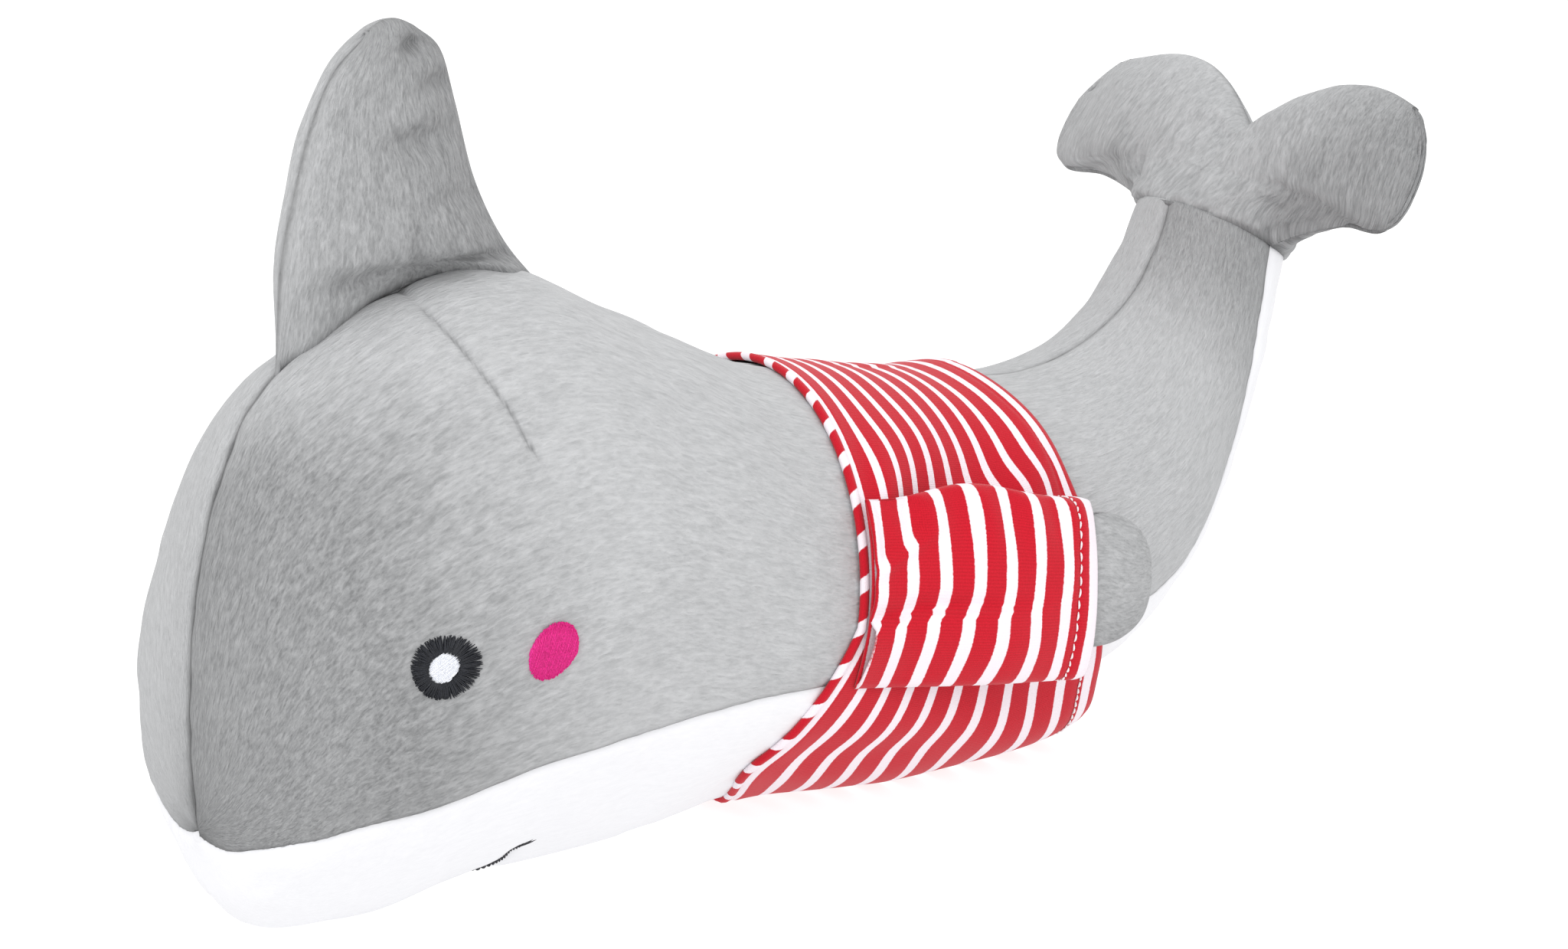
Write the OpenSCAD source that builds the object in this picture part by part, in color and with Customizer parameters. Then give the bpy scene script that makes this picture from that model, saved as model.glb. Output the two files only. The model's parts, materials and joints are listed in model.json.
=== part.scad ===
// Stuffed plush shark in a striped shirt. Millimetres, +Z up, nose towards -Y, left side +X.
// It rests on z = 0. Every panel is a shell over a separate stuffing, and every shell and
// stuffing is one closed solid swept from the same outline, so they fit when a size changes.

/* [Head] */
// Length from the nose to the neck
head_l = 191; // [159:1:230]
// Height of the crown above the ground
head_h = 186; // [155:1:220]
// Width of the head at the cheeks
head_w = 128; // [106:1:154]

/* [Torso] */
// Length of the back from the neck to the rump
torso_l = 125; // [110:1:150]
// Height of the back at the neck
neck_h = 145; // [125:1:160]
// Width at the neck
neck_w = 122; // [101:1:147]
// Height of the back at the rump
rump_h = 117; // [105:1:130]
// Width at the rump
rump_w = 106; // [94:1:120]

/* [Tail] */
// Length of the back line from the rump to the tail seam
tail_l = 74; // [64:1:90]
// Height of the middle of the tail seam
tail_rise = 150; // [132:1:178]
// Width of the tail at its seam
stem_w = 56; // [48:1:66]
// Depth of the tail at its seam
stem_d = 49; // [41:1:59]

/* [Tail fluke] */
// Span of the fluke, tip to tip
fluke_span = 170; // [144:1:204]
// Length of each lobe from the tail seam
fluke_l = 62; // [52:1:74]
// Length from the tail seam to the notch
notch_l = 38; // [32:1:44]
// Thickness of the stuffed lobes
fluke_t = 30; // [24:1:36]

/* [Dorsal fin] */
// Height of the dorsal fin
dorsal_h = 96; // [80:1:116]
// Length of the dorsal fin at its base
dorsal_l = 95; // [82:1:112]
// Thickness of the stuffed dorsal fin
dorsal_t = 30; // [24:1:36]

/* [Pectoral fins] */
// Length of a fin from its hinge line
fin_l = 104; // [88:1:118]
// Width of a fin
fin_w = 42; // [35:1:51]
// Thickness of a stuffed fin
fin_t = 14; // [11:0.5:17]
// Outward flare of a resting fin, in degrees
fin_flare = 4; // [2:0.5:8]
// Height of the fin's middle line at its hinge
fin_z = 80; // [68:1:92]

/* [Shirt] */
// Length of the shirt along the body, in parts of the torso length
shirt_share = 0.77; // [0.62:0.01:0.82]
// Thickness of the shirt cloth
shirt_t = 1.5; // [1:0.1:2]
// Width of the collar binding
collar_w = 4; // [3:0.1:5]
// Length of a sleeve
sleeve_l = 75; // [62:1:84]
// Width of a sleeve laid flat
sleeve_w = 58; // [50:1:64]
// Distance of the hem stitching from the edge
hem_w = 7; // [5:0.5:10]

/* [Fabric and fits] */
// Thickness of the plush fabric with its pile
skin = 2.6; // [2:0.1:3.2]
// Gap between two panels at a seam
seam_gap = 0.2; // [0.1:0.05:0.4]
// Gap between a panel and the stuffing under it
fill_gap = 0.3; // [0.2:0.05:0.5]
// Gap between the shirt and the body
shirt_gap = 0.7; // [0.5:0.05:0.9]
// Gap between the dorsal fin and the crown that it leans over
lean_gap = 3.2; // [2.8:0.1:4.5]
// Depth that the soft belly flattens by where it rests
belly_sink = 3; // [1:0.5:5]

/* [Embroidery] */
// Outer diameter of the eye ring
eye_d = 20; // [16:0.5:24]
// Diameter of the white eye centre
pupil_d = 9; // [7:0.5:10]
// Length of the cheek patch
cheek_d = 16; // [12:0.5:19]
// Height of the embroidery above the fabric
thread_h = 1; // [0.6:0.1:1.4]

/* [Movement] */
// Travel of the tail each way, in degrees
bend_travel = 15; // [8:1:15]
// Travel of the fluke each way, in degrees
fluke_travel = 25; // [15:1:25]

/* [Hidden] */

grey = [0.66, 0.67, 0.68];
white = [0.95, 0.95, 0.97];
red = [0.80, 0.08, 0.15];
wadding = [0.90, 0.89, 0.85];

// ---- Body outline -------------------------------------------------------------------
// A station holds the back line's y and z, the belly line's y and z, the half width, the
// narrowing of the crown and the angle of the belly seam below the widest line.
neck_y = -33;
nose_y = neck_y - head_l;
rump_y = neck_y + torso_l;
stem_y = rump_y + tail_l;
stem_lean = 33;
stem_back = [stem_y, tail_rise + stem_d / 2 * sin(stem_lean)];
stem_belly = [stem_y + stem_d * cos(stem_lean), tail_rise - stem_d / 2 * sin(stem_lean)];

function head_station(back_y, back_z, belly_y, belly_z, width, egg, seam) =
    [nose_y + back_y * head_l, back_z * head_h, nose_y + belly_y * head_l,
     belly_z * head_h, width * head_w / 2, egg, seam];
function tail_station(back_y, back_z, belly_y, belly_z, width, seam) =
    [lerp(rump_y, stem_back.x, back_y), lerp(rump_h, stem_back.y, back_z),
     lerp(rump_y + 7, stem_belly.x, belly_y), lerp(9, stem_belly.y, belly_z),
     lerp(rump_w, stem_w, width) / 2, 0, seam];

STATIONS = [
    head_station(0.005, 0.195, 0.005, 0.195, 0, 0.4, -30),
    head_station(0, 0.335, 0.03, 0.10, 0.31, 0.4, -13),
    head_station(0.01, 0.495, 0.06, 0.05, 0.56, 0.4, -14),
    head_station(0.037, 0.65, 0.11, 0.017, 0.725, 0.38, -18.5),
    head_station(0.085, 0.78, 0.195, 0, 0.83, 0.35, -22),
    [nose_y + 0.165 * head_l, 0.888 * head_h, nose_y + 0.32 * head_l, -belly_sink,
     0.905 * head_w / 2, 0.3, -25],
    [nose_y + 0.356 * head_l, 0.985 * head_h, nose_y + 0.50 * head_l, -belly_sink,
     0.97 * head_w / 2, 0.25, -25],
    [nose_y + 0.57 * head_l, head_h, nose_y + 0.686 * head_l, -belly_sink,
     head_w / 2, 0.2, -24],
    [nose_y + 0.78 * head_l, 0.9 * head_h, nose_y + 0.87 * head_l, -belly_sink,
     0.985 * head_w / 2, 0.12, -19],
    [neck_y, neck_h, neck_y + 10, -belly_sink, neck_w / 2, 0.06, -15],
    [neck_y + 0.32 * torso_l, lerp(neck_h, rump_h, 0.46), neck_y + 0.36 * torso_l,
     -belly_sink, lerp(neck_w, rump_w, 0.25) / 2, 0, -15],
    [neck_y + 0.66 * torso_l, lerp(neck_h, rump_h, 0.79), neck_y + 0.70 * torso_l, -1,
     lerp(neck_w, rump_w, 0.55) / 2, 0, -18],
    [rump_y, rump_h, rump_y + 7, 9, rump_w / 2, 0, -22],
    tail_station(0.43, 0.065, 0.40, 0.15, 0.27, -28),
    tail_station(0.72, 0.31, 0.69, 0.405, 0.57, -14),
    tail_station(0.90, 0.66, 0.87, 0.71, 0.81, -4),
    [stem_back.x, stem_back.y, stem_belly.x, stem_belly.y, stem_w / 2, 0, -2]];
last_t = len(STATIONS) - 1;
collar_t = 9.1;
hem_t = 9.1 + 3.12 * shirt_share;
bend_t = 11.9;
under_shirt = shirt_t + shirt_gap;

function lerp(a, b, f) = a + (b - a) * f;
function smooth(f) = let(c = min(1, max(0, f))) c * c * (3 - 2 * c);
function unit(v) = v / norm(v);

// Point at place t along a list of points, on a smooth curve through them.
function along(list, t) =
    let(n = len(list) - 1, i = min(n - 1, max(0, floor(t))), f = t - i,
        b = list[i], c = list[i + 1],
        a = i > 0 ? list[i - 1] : 2 * b - c,
        d = i < n - 1 ? list[i + 2] : 2 * c - b)
    (2 * b + (c - a) * f + (2 * a - 5 * b + 4 * c - d) * f * f
        + (3 * b - a - 3 * c + d) * f * f * f) / 2;

function rest_height(t) = under_shirt * smooth((t - collar_t + 2) / 0.6);

// Point on the body's outside: a runs from the left side (0) over the back (90).
// Narrowing of the underside: rounder below the head, flatter below the torso.
function belly_round(t) =
    lerp(0.3, -0.2, smooth((t - 8) / 2)) * smooth(t / 2) * (1 - smooth((t - 11) / 3));
function body_point(t, a) =
    let(s = along(STATIONS, t), up = max(0, sin(a)), down = max(0, -sin(a)),
        x = s[4] * cos(a) * (1 - s[5] * up * up - belly_round(t) * down * down),
        y = (s[0] + s[2]) / 2 + (s[0] - s[2]) / 2 * sin(a),
        z = (s[1] + s[3]) / 2 + (s[1] - s[3]) / 2 * sin(a))
    [x, y, max(rest_height(t), z)];
function outward(f, t, a) =
    unit(cross(f(t + 0.01, a) - f(t - 0.01, a), f(t, a + 0.5) - f(t, a - 0.5)));
function body_offset(t, a, g) =
    body_point(t, a) + g * outward(function(u, v) body_point(u, v), t, a);

// ---- Solids from grids of points ----------------------------------------------------
function quad(a, b, c, d) = [[a, d, c], [a, c, b]];

// Closed shell between an outer and an inner grid; skip(i, j) leaves a cell open. A pole is
// the outer and inner point that close a round patch at its first row.
module grid_shell(outer, inner, wrap = false, skip = function(i, j) false, pole = []) {
    cols = len(outer[0]);
    nr = len(outer) - 1;
    nc = wrap ? cols : cols - 1;
    n = len(outer) * cols;
    centre = 2 * n;
    out = function(i, j) i * cols + j % cols;
    in = function(i, j) n + i * cols + j % cols;
    has = function(i, j) i >= 0 && i < nr && (wrap || (j >= 0 && j < nc))
        && !skip(i, (j + nc) % nc);
    walls = [for (i = [0:nr - 1], j = [0:nc - 1]) if (has(i, j)) each concat(
        quad(out(i, j), out(i + 1, j), out(i + 1, j + 1), out(i, j + 1)),
        quad(in(i, j), in(i, j + 1), in(i + 1, j + 1), in(i + 1, j)),
        has(i, j - 1) ? [] : quad(out(i + 1, j), out(i, j), in(i, j), in(i + 1, j)),
        has(i, j + 1) ? []
            : quad(out(i, j + 1), out(i + 1, j + 1), in(i + 1, j + 1), in(i, j + 1)),
        has(i - 1, j) || (i == 0 && len(pole) > 0) ? []
            : quad(out(i, j), out(i, j + 1), in(i, j + 1), in(i, j)),
        has(i + 1, j) ? []
            : quad(out(i + 1, j + 1), out(i + 1, j), in(i + 1, j), in(i + 1, j + 1)))];
    caps = len(pole) == 0 ? [] : [for (j = [0:nc - 1]) each [
        [centre, out(0, j + 1), out(0, j)], [centre + 1, in(0, j), in(0, j + 1)]]];
    polyhedron(concat([for (r = outer) each r], [for (r = inner) each r], pole),
        concat(walls, caps));
}

// Closed solid through a row of rings, with one point closing each end.
module ring_solid(rings, first, last) {
    m = len(rings[0]);
    n = len(rings) - 1;
    at = function(i, j) 2 + i * m + j % m;
    polyhedron(concat([first, last], [for (r = rings) each r]), concat(
        [for (i = [0:n - 1], j = [0:m - 1]) each
            quad(at(i, j), at(i + 1, j), at(i + 1, j + 1), at(i, j + 1))],
        [for (j = [0:m - 1]) [0, at(0, j + 1), at(0, j)]],
        [for (j = [0:m - 1]) [1, at(n, j), at(n, j + 1)]]));
}

module right_side() {
    mirror([1, 0, 0]) children();
}

// ---- Body panels and stuffing -------------------------------------------------------
function steps(a, b, n) = [for (i = [0:n]) lerp(a, b, i / n)];
function seam_angle(t) = along(STATIONS, t)[6];
function seam_half_gap(t) =
    min(10, seam_gap / 2 / max(0.5, along(STATIONS, t)[4]) * 180 / PI);

// Row of angles of a side panel or of the belly panel at place t.
function side_angles(t, n) =
    steps(seam_angle(t) + seam_half_gap(t), 90 - seam_half_gap(t), n);
function belly_angles(t, n) =
    steps(180 - seam_angle(t) + seam_half_gap(t), 360 + seam_angle(t) - seam_half_gap(t), n);

nose_rows = [for (i = [0:5]) 0.06 + 2.3 * pow(i / 5, 1.7)];
torso_rows = concat(nose_rows, steps(2.8, bend_t, 15));
side_cols = 11;
belly_cols = 7;

// Frame of the joint section at place t: middle, up, tailward, half height, half width.
function section_frame(t) =
    let(s = along(STATIONS, t), up = [0, s[0] - s[2], s[1] - s[3]])
    [[0, (s[0] + s[2]) / 2, (s[1] + s[3]) / 2], unit(up), cross([-1, 0, 0], unit(up)),
     norm(up) / 2, s[4]];
// Point of a section folded tailward about its own hinge line by an angle.
function folded_point(t, a, g, fold) =
    let(f = section_frame(t), r = (f[3] + g) * sin(a))
    f[0] + [(f[4] + g) * cos(a), 0, 0] + r * cos(fold) * f[1] + abs(r) * sin(fold) * f[2];
hinge_gap = 0.5;
bend_fold = bend_travel + 2;
fluke_fold = fluke_travel + 2;
function tail_start(a, g) = folded_point(bend_t, a, g, bend_fold)
    + hinge_gap * section_frame(bend_t)[2];

tail_rows = steps(bend_t + 0.75, last_t, 9);

module side_panel() {
    grid_shell([for (t = torso_rows) [for (a = side_angles(t, side_cols)) body_point(t, a)]],
        [for (t = torso_rows) [for (a = side_angles(t, side_cols)) body_offset(t, a, -skin)]]);
}
module side_panel_left() {
    color(grey) side_panel();
}
module side_panel_right() {
    color(grey) right_side() side_panel();
}
module belly_panel() {
    color(white) grid_shell(
        [for (t = torso_rows) [for (a = belly_angles(t, belly_cols)) body_point(t, a)]],
        [for (t = torso_rows) [for (a = belly_angles(t, belly_cols))
            body_offset(t, a, -skin)]]);
}

ring_cols = 20;
ring_angles = [for (j = [0:ring_cols - 1]) 360 * j / ring_cols];
// All the angles round the body at place t, one point to each column of the panels.
function around(t) = let(side = side_angles(t, side_cols)) concat(
    side, [for (i = [side_cols:-1:0]) 180 - side[i]], belly_angles(t, belly_cols));
// Rings of a stuffing's rounded end, which the next body turns over at a joint.
function joint_end(t, fold, shrink) = [for (i = [0:3])
    [for (a = around(t)) folded_point(t, a,
        -skin - fill_gap - shrink * pow(i / 3, 2), fold * i / 3)]];

module torso_stuffing() {
    depth = skin + fill_gap + 0.4;
    mid = section_frame(bend_t);
    color(wadding) ring_solid(concat(
        [for (t = [for (t = torso_rows) if (t > 0.2 && t < bend_t - 0.2) t])
            [for (a = around(t)) body_offset(t, a, -depth)]],
        joint_end(bend_t, bend_fold, 10)),
        body_point(0, 0) + [0, depth, 0], mid[0] + 8 * mid[2]);
}

module tail_side() {
    angles = function(t) side_angles(t, side_cols);
    grid_shell(concat([[for (a = angles(bend_t)) tail_start(a, 0)]],
            [for (t = tail_rows) [for (a = angles(t)) body_point(t, a)]]),
        concat([[for (a = angles(bend_t)) tail_start(a, -skin)]],
            [for (t = tail_rows) [for (a = angles(t)) body_offset(t, a, -skin)]]));
}
module tail_side_left() {
    color(grey) tail_side();
}
module tail_side_right() {
    color(grey) right_side() tail_side();
}
module tail_belly() {
    angles = function(t) belly_angles(t, belly_cols);
    color(white) grid_shell(concat([[for (a = angles(bend_t)) tail_start(a, 0)]],
            [for (t = tail_rows) [for (a = angles(t)) body_point(t, a)]]),
        concat([[for (a = angles(bend_t)) tail_start(a, -skin)]],
            [for (t = tail_rows) [for (a = angles(t)) body_offset(t, a, -skin)]]));
}
module tail_stuffing() {
    depth = skin + fill_gap;
    mid = section_frame(last_t);
    color(wadding) ring_solid(concat(
        [for (t = [for (t = tail_rows) if (t > bend_t + 1.2 && t < last_t - 0.2) t])
            [for (a = around(t)) body_offset(t, a, -depth)]],
        joint_end(last_t, fluke_fold, stem_d / 6)),
        section_frame(bend_t + 1.3)[0], mid[0] + 5 * mid[2]);
}

// ---- Tail fluke ---------------------------------------------------------------------
// Edge of the left lobe from the seam's corner round the tip to the top, as shares of the
// half span and of the lobe length.
LOBE_EDGE = [[stem_w / fluke_span, 0], [0.50, 0.145], [0.71, 0.26], [0.92, 0.29],
    [1, 0.42], [0.985, 0.71], [0.83, 0.97]];
lobe_curl = -5;
edge_t = 0.8;

function fluke_local(k, a, g) =
    let(edge = along(LOBE_EDGE, k * (len(LOBE_EDGE) - 1)),
        half = edge.x * fluke_span / 2, f = abs(cos(a)),
        reach = k * notch_l, tip = edge.y * fluke_l,
        s = lerp(reach, tip, f) + 0.21 * fluke_l * k * k * sin(180 * f),
        body = lerp(stem_d / 2, fluke_t / 2, smooth(k / 0.45))
            * (0.88 + 0.12 * lerp(1, sin(180 * f), smooth(k / 0.3))),
        close = k < 0.5 ? 1 : sqrt(max(0, 1 - pow((k - 0.5) / 0.5, 2.4))),
        thick = max(edge_t, body * close))
    [(half + g * close) * cos(a), s + g * k, (thick + g) * sin(a)
        + lobe_curl * pow(half * cos(a) / (fluke_span / 2), 2) * smooth(k / 0.5)];
module fluke_half(side) {
    frame = section_frame(last_t);
    fold = function(a, g) folded_point(last_t, a, g, fluke_fold) + hinge_gap * frame[2];
    place = function(k, a, g) let(p = fluke_local(k, a, 0), q = fluke_inside(k, a, g))
        frame[0] + [q.x, 0, 0] + q.y * frame[2] + q.z * frame[1];
    angles = steps(side > 0 ? 0 : 180, side > 0 ? 180 : 360, 22);
    rows = steps(0.42, 1, 9);
    gap = seam_gap / 2 * side * frame[1];
    grid_shell(concat([[for (a = angles) fold(a, 0) + gap]],
            [for (k = rows) [for (a = angles) place(k, a, 0) + gap]]),
        concat([[for (a = angles) fold(a, -skin) + gap]],
            [for (k = rows) [for (a = angles) place(k, a, -skin) + gap]]));
}
// Point of the fluke's inner surface, kept on its own side of the middle.
function fluke_inside(k, a, g) =
    let(p = fluke_local(k, a, 0),
        n = outward(function(u, v) fluke_local(u, v, 0), k, a),
        m = lobe_curl * pow(p.x / (fluke_span / 2), 2) * smooth(k / 0.5),
        q = p + g * n,
        z = sin(a) >= 0 ? max(q.z, m) : min(q.z, m))
    g == 0 ? p : [q.x, q.y, z];

module fluke_upper_panel() {
    color(grey) fluke_half(1);
}
module fluke_lower_panel() {
    color(grey) fluke_half(-1);
}
module fluke_stuffing() {
    frame = section_frame(last_t);
    depth = skin + fill_gap + 0.4;
    inside = function(k, a) let(q = fluke_inside(k, a, -depth))
        frame[0] + [q.x, 0, 0] + q.y * frame[2] + q.z * frame[1];
    color(wadding) ring_solid([for (k = steps(0.5, 0.9, 6)) [for (a = ring_angles)
        inside(k, a)]], inside(0.5, 90) * 0.5 + inside(0.5, 270) * 0.5,
        inside(0.9, 90) * 0.5 + inside(0.9, 270) * 0.5);
}

// ---- Dorsal fin ---------------------------------------------------------------------
// Leading and trailing edges, from the base to the top, as shares of length and height.
DORSAL_FRONT = [[0, 0], [0, 0.33], [0.05, 0.55], [0.11, 0.72], [0.22, 0.87], [0.38, 0.985]];
DORSAL_REAR = [[1, 0.14], [0.86, 0.30], [0.76, 0.50], [0.71, 0.73], [0.69, 0.90],
    [0.60, 0.99]];
dorsal_y = nose_y + 0.165 * head_l;
dorsal_front_z = back_height(dorsal_y);

// Place t on the back line at a given y, found by halving an interval.
function back_place(y, low = 3, high = 11, n = 14) =
    n == 0 ? (low + high) / 2
        : let(mid = (low + high) / 2)
          along(STATIONS, mid)[0] < y ? back_place(y, mid, high, n - 1)
              : back_place(y, low, mid, n - 1);
function back_height(y) = along(STATIONS, back_place(y))[1];

// Point of the dorsal fin: k runs from base to top, a from the rear edge to the front.
function dorsal_point(k, a) =
    let(n = len(DORSAL_FRONT) - 1, u = (1 - sin(a)) / 2,
        front = along(DORSAL_FRONT, k * n), rear = along(DORSAL_REAR, k * n),
        y = dorsal_y + lerp(front.x, rear.x, u) * dorsal_l,
        z = dorsal_front_z + lerp(front.y, rear.y, u) * dorsal_h,
        straight = dorsal_front_z + lerp(DORSAL_FRONT[0].y, DORSAL_REAR[0].y, u) * dorsal_h,
        base = back_height(dorsal_y + u * dorsal_l) + lean_gap,
        swell = lerp(0.4, 1, smooth(k / 0.3)) * lerp(1, 0.62, smooth((k - 0.3) / 0.6)),
        close = k < 0.72 ? 1 : sqrt(max(0, 1 - pow((k - 0.72) / 0.28, 2))))
    [max(edge_t, dorsal_t / 2 * swell * close) * cos(a), y,
     z + (base - straight) * (1 - smooth(k / 0.2))];
function dorsal_inside(k, a, g) =
    let(p = dorsal_point(k, a) + g * outward(function(u, v) dorsal_point(u, v), k, a))
    [max(0, p.x), p.y, k == 0 ? dorsal_point(k, a).z : p.z];
module dorsal_panel() {
    angles = steps(-90, 90, 12);
    rows = steps(0, 1, 11);
    translate([seam_gap / 2, 0, 0]) grid_shell(
        [for (k = rows) [for (a = angles) dorsal_point(k, a)]],
        [for (k = rows) [for (a = angles) dorsal_inside(k, a, -skin)]]);
}
module dorsal_panel_left() {
    color(grey) dorsal_panel();
}
module dorsal_panel_right() {
    color(grey) right_side() dorsal_panel();
}
module dorsal_stuffing() {
    depth = skin + fill_gap + 0.3;
    left = function(k, a) dorsal_inside(k, a, -depth);
    rows = steps(3 / 11, 9 / 11, 6);
    ring = function(k) concat([for (a = steps(-90, 90, 12)) left(k, a)],
        [for (a = steps(75, -75, 10)) let(p = left(k, a)) [-p.x, p.y, p.z]]);
    core = function(k) (left(k, -90) + left(k, 90)) / 2;
    color(wadding) ring_solid([for (k = rows) ring(k)], core(rows[0]), core(rows[6]));
}

// ---- Pectoral fins and sleeves ------------------------------------------------------
// Frame of the left fin: hinge point, outward, rearward and up along the hinge line.
fin_y = neck_y + 15;
fin_slant = unit([-5, 8, 55]);
fin_rear = unit([sin(fin_flare - 2), cos(fin_flare - 2), -0.18]);
fin_out = unit(cross(fin_rear, fin_slant));
sleeve_root_t = 10;
sleeve_end_t = fin_t + 2 * shirt_t + 5;
sleeve_curve = 130;
fin_side = max([for (y = [0, 25, 50]) body_point(back_place(fin_y + y), 0).x]);
fin_hinge = [fin_side + under_shirt + sleeve_root_t / 2 + 3, fin_y, fin_z];

// Point beside the hinge: out, rear and up, curved round the body near the hinge line.
function fin_place(out, rear, up) =
    fin_hinge + rear * fin_rear + up * fin_slant
        + (out - up * up / sleeve_curve * (1 - smooth(rear / sleeve_l))) * fin_out;

// Point of the fin, before it is placed: k runs from the root to the tip.
fin_root = 7;
function fin_local(k, a) =
    let(close = k < 0.74 ? 1 : sqrt(max(0, 1 - pow((k - 0.74) / 0.26, 2.3))),
        swell = lerp(0.42, 1, smooth(k / 0.35)))
    [max(edge_t, fin_t / 2 * swell * close) * cos(a), lerp(fin_root, fin_l, k),
     fin_w / 2 * lerp(0.88, 1, smooth(k / 0.5)) * max(0.04, close) * sin(a)];
function fin_inside(k, a, g) =
    let(p = fin_local(k, a) + g * outward(function(u, v) fin_local(u, v), k, a))
    [cos(a) >= 0 ? max(0, p.x) : min(0, p.x), k == 0 ? fin_root : p.y, p.z];
module fin_panel(side) {
    angles = steps(side > 0 ? -90 : 90, side > 0 ? 90 : 270, 8);
    rows = steps(0, 1, 11);
    gap = side * seam_gap / 2;
    grid_shell([for (k = rows) [for (a = angles) let(p = fin_local(k, a))
            fin_place(p.x + gap, p.y, p.z)]],
        [for (k = rows) [for (a = angles) let(p = fin_inside(k, a, -min(skin, 2.2)))
            fin_place(p.x + gap, p.y, p.z)]]);
}
module fin_stuffing() {
    depth = min(skin, 2.2) + fill_gap + 0.2;
    at = function(k, a) let(p = fin_inside(k, a, -depth)) fin_place(p.x, p.y, p.z);
    color(wadding) ring_solid([for (k = steps(0.3, 0.86, 6)) [for (a = ring_angles)
        at(k, a)]], fin_place(0, lerp(fin_root, fin_l, 0.3) - depth, 0),
        fin_place(0, lerp(fin_root, fin_l, 0.86), 0));
}
module fin_outer_left() {
    color(grey) fin_panel(1);
}
module fin_outer_right() {
    color(grey) right_side() fin_panel(1);
}
module fin_inner_left() {
    color(grey) fin_panel(-1);
}
module fin_inner_right() {
    color(grey) right_side() fin_panel(-1);
}
module fin_stuffing_left() {
    fin_stuffing();
}
module fin_stuffing_right() {
    right_side() fin_stuffing();
}

// Point of the sleeve's outside, moved out by g.
function sleeve_point(rear, a, g) =
    let(f = smooth(rear / (sleeve_l * 0.6)),
        thick = lerp(sleeve_root_t, sleeve_end_t, f) / 2 + g,
        wide = sleeve_w / 2 * lerp(1, 0.96, f) + g)
    fin_place(thick * cos(a), rear, wide * sin(a));
module sleeve() {
    rows = steps(0, sleeve_l, 8);
    color(red) grid_shell(
        [for (r = rows) [for (a = ring_angles) sleeve_point(r, a, 0)]],
        [for (r = rows) [for (a = ring_angles) sleeve_point(r, a, -shirt_t)]], wrap = true);
}
module sleeve_stitch() {
    rows = [sleeve_l - hem_w - 0.9, sleeve_l - hem_w];
    color(white) grid_shell(
        [for (r = rows) [for (a = ring_angles) sleeve_point(r, a, 0.4)]],
        [for (r = rows) [for (a = ring_angles) sleeve_point(r, a, 0.05)]], wrap = true);
}
module sleeve_left() {
    sleeve();
}
module sleeve_right() {
    right_side() sleeve();
}
module sleeve_stitch_left() {
    sleeve_stitch();
}
module sleeve_stitch_right() {
    right_side() sleeve_stitch();
}

// ---- Shirt --------------------------------------------------------------------------
shirt_cols = 32;
shirt_angles = [for (j = [0:shirt_cols - 1]) 360 * j / shirt_cols];
t_per_mm = 1 / 42;
function collar_at(a) = collar_t + sin(a) * (sin(a) > 0 ? 0.4 : 1.2);
function hem_at(a) = hem_t + 0.1 - 0.12 * sin(a);
function shirt_grid(places, g) = [for (f = places) [for (a = shirt_angles) f(a, g)]];
module shirt_body() {
    rows = 12;
    at = function(i, a) lerp(collar_at(a), hem_at(a), i / rows);
    grid = function(g) [for (i = [0:rows]) [for (a = shirt_angles)
        body_offset(at(i, a), a, g)]];
    armhole = function(i, j) let(a = shirt_angles[j])
        (i == 2 || i == 3) && (a < 25 || (a >= 145 && a < 180));
    color(red) grid_shell(grid(under_shirt), grid(shirt_gap), wrap = true, skip = armhole);
}
// Ring laid round the body between two places near an edge line.
module cloth_ring(edge, from, to, high, low) {
    grid = function(g) [for (d = [from, to]) [for (a = shirt_angles)
        body_offset(edge(a) + d * t_per_mm, a, g)]];
    grid_shell(grid(high), grid(low), wrap = true);
}
module collar_band() {
    color(red) cloth_ring(function(a) collar_at(a), -collar_w, -0.3, under_shirt, shirt_gap);
}
module shirt_hem_stitch() {
    color(white) cloth_ring(function(a) hem_at(a), -hem_w - 0.9, -hem_w,
        under_shirt + 0.4, under_shirt + 0.05);
}

// ---- Embroidery ---------------------------------------------------------------------
eye_at = [5.2, 6];
cheek_at = [6.05, -2];
MOUTH = [[5.72, -46], [5.6, -52], [5.35, -58], [4.95, -63], [4.45, -68], [3.95, -74],
    [3.5, -81], [3.3, -90]];

// Point on the fabric beside a centre, by distances tailward and upward, g above it.
function beside(centre, tailward, upward, g) =
    let(t = centre.x, a = centre.y,
        per_t = norm(body_point(t + 0.1, a) - body_point(t - 0.1, a)) / 0.2,
        per_a = norm(body_point(t, a + 2) - body_point(t, a - 2)) / 4)
    body_offset(t + tailward / per_t, a + upward / per_a, g);
// Round or oval patch between two radii; no inner radius makes a full patch.
module patch(centre, inner_d, outer_d, oval = 1, turn = 0) {
    full = inner_d == 0;
    radii = steps(full ? outer_d / 8 : inner_d / 2, outer_d / 2, 3);
    at = function(r, a, g) let(u = r * cos(a), v = oval * r * sin(a))
        beside(centre, u * cos(turn) - v * sin(turn), u * sin(turn) + v * cos(turn), g);
    grid = function(g) [for (r = radii) [for (a = ring_angles) at(r, a, g)]];
    grid_shell(grid(thread_h), grid(0.05), wrap = true,
        pole = full ? [at(0, 0, thread_h), at(0, 0, 0.05)] : []);
}
module eye_ring() {
    color("black") patch(eye_at, pupil_d + 0.4, eye_d);
}
module eye_centre() {
    color("white") patch(eye_at, 0, pupil_d);
}
module cheek() {
    color("deeppink") patch(cheek_at, 0, cheek_d, oval = 0.82, turn = 35);
}
module eye_ring_left() {
    eye_ring();
}
module eye_ring_right() {
    right_side() eye_ring();
}
module eye_centre_left() {
    eye_centre();
}
module eye_centre_right() {
    right_side() eye_centre();
}
module cheek_left() {
    cheek();
}
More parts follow.
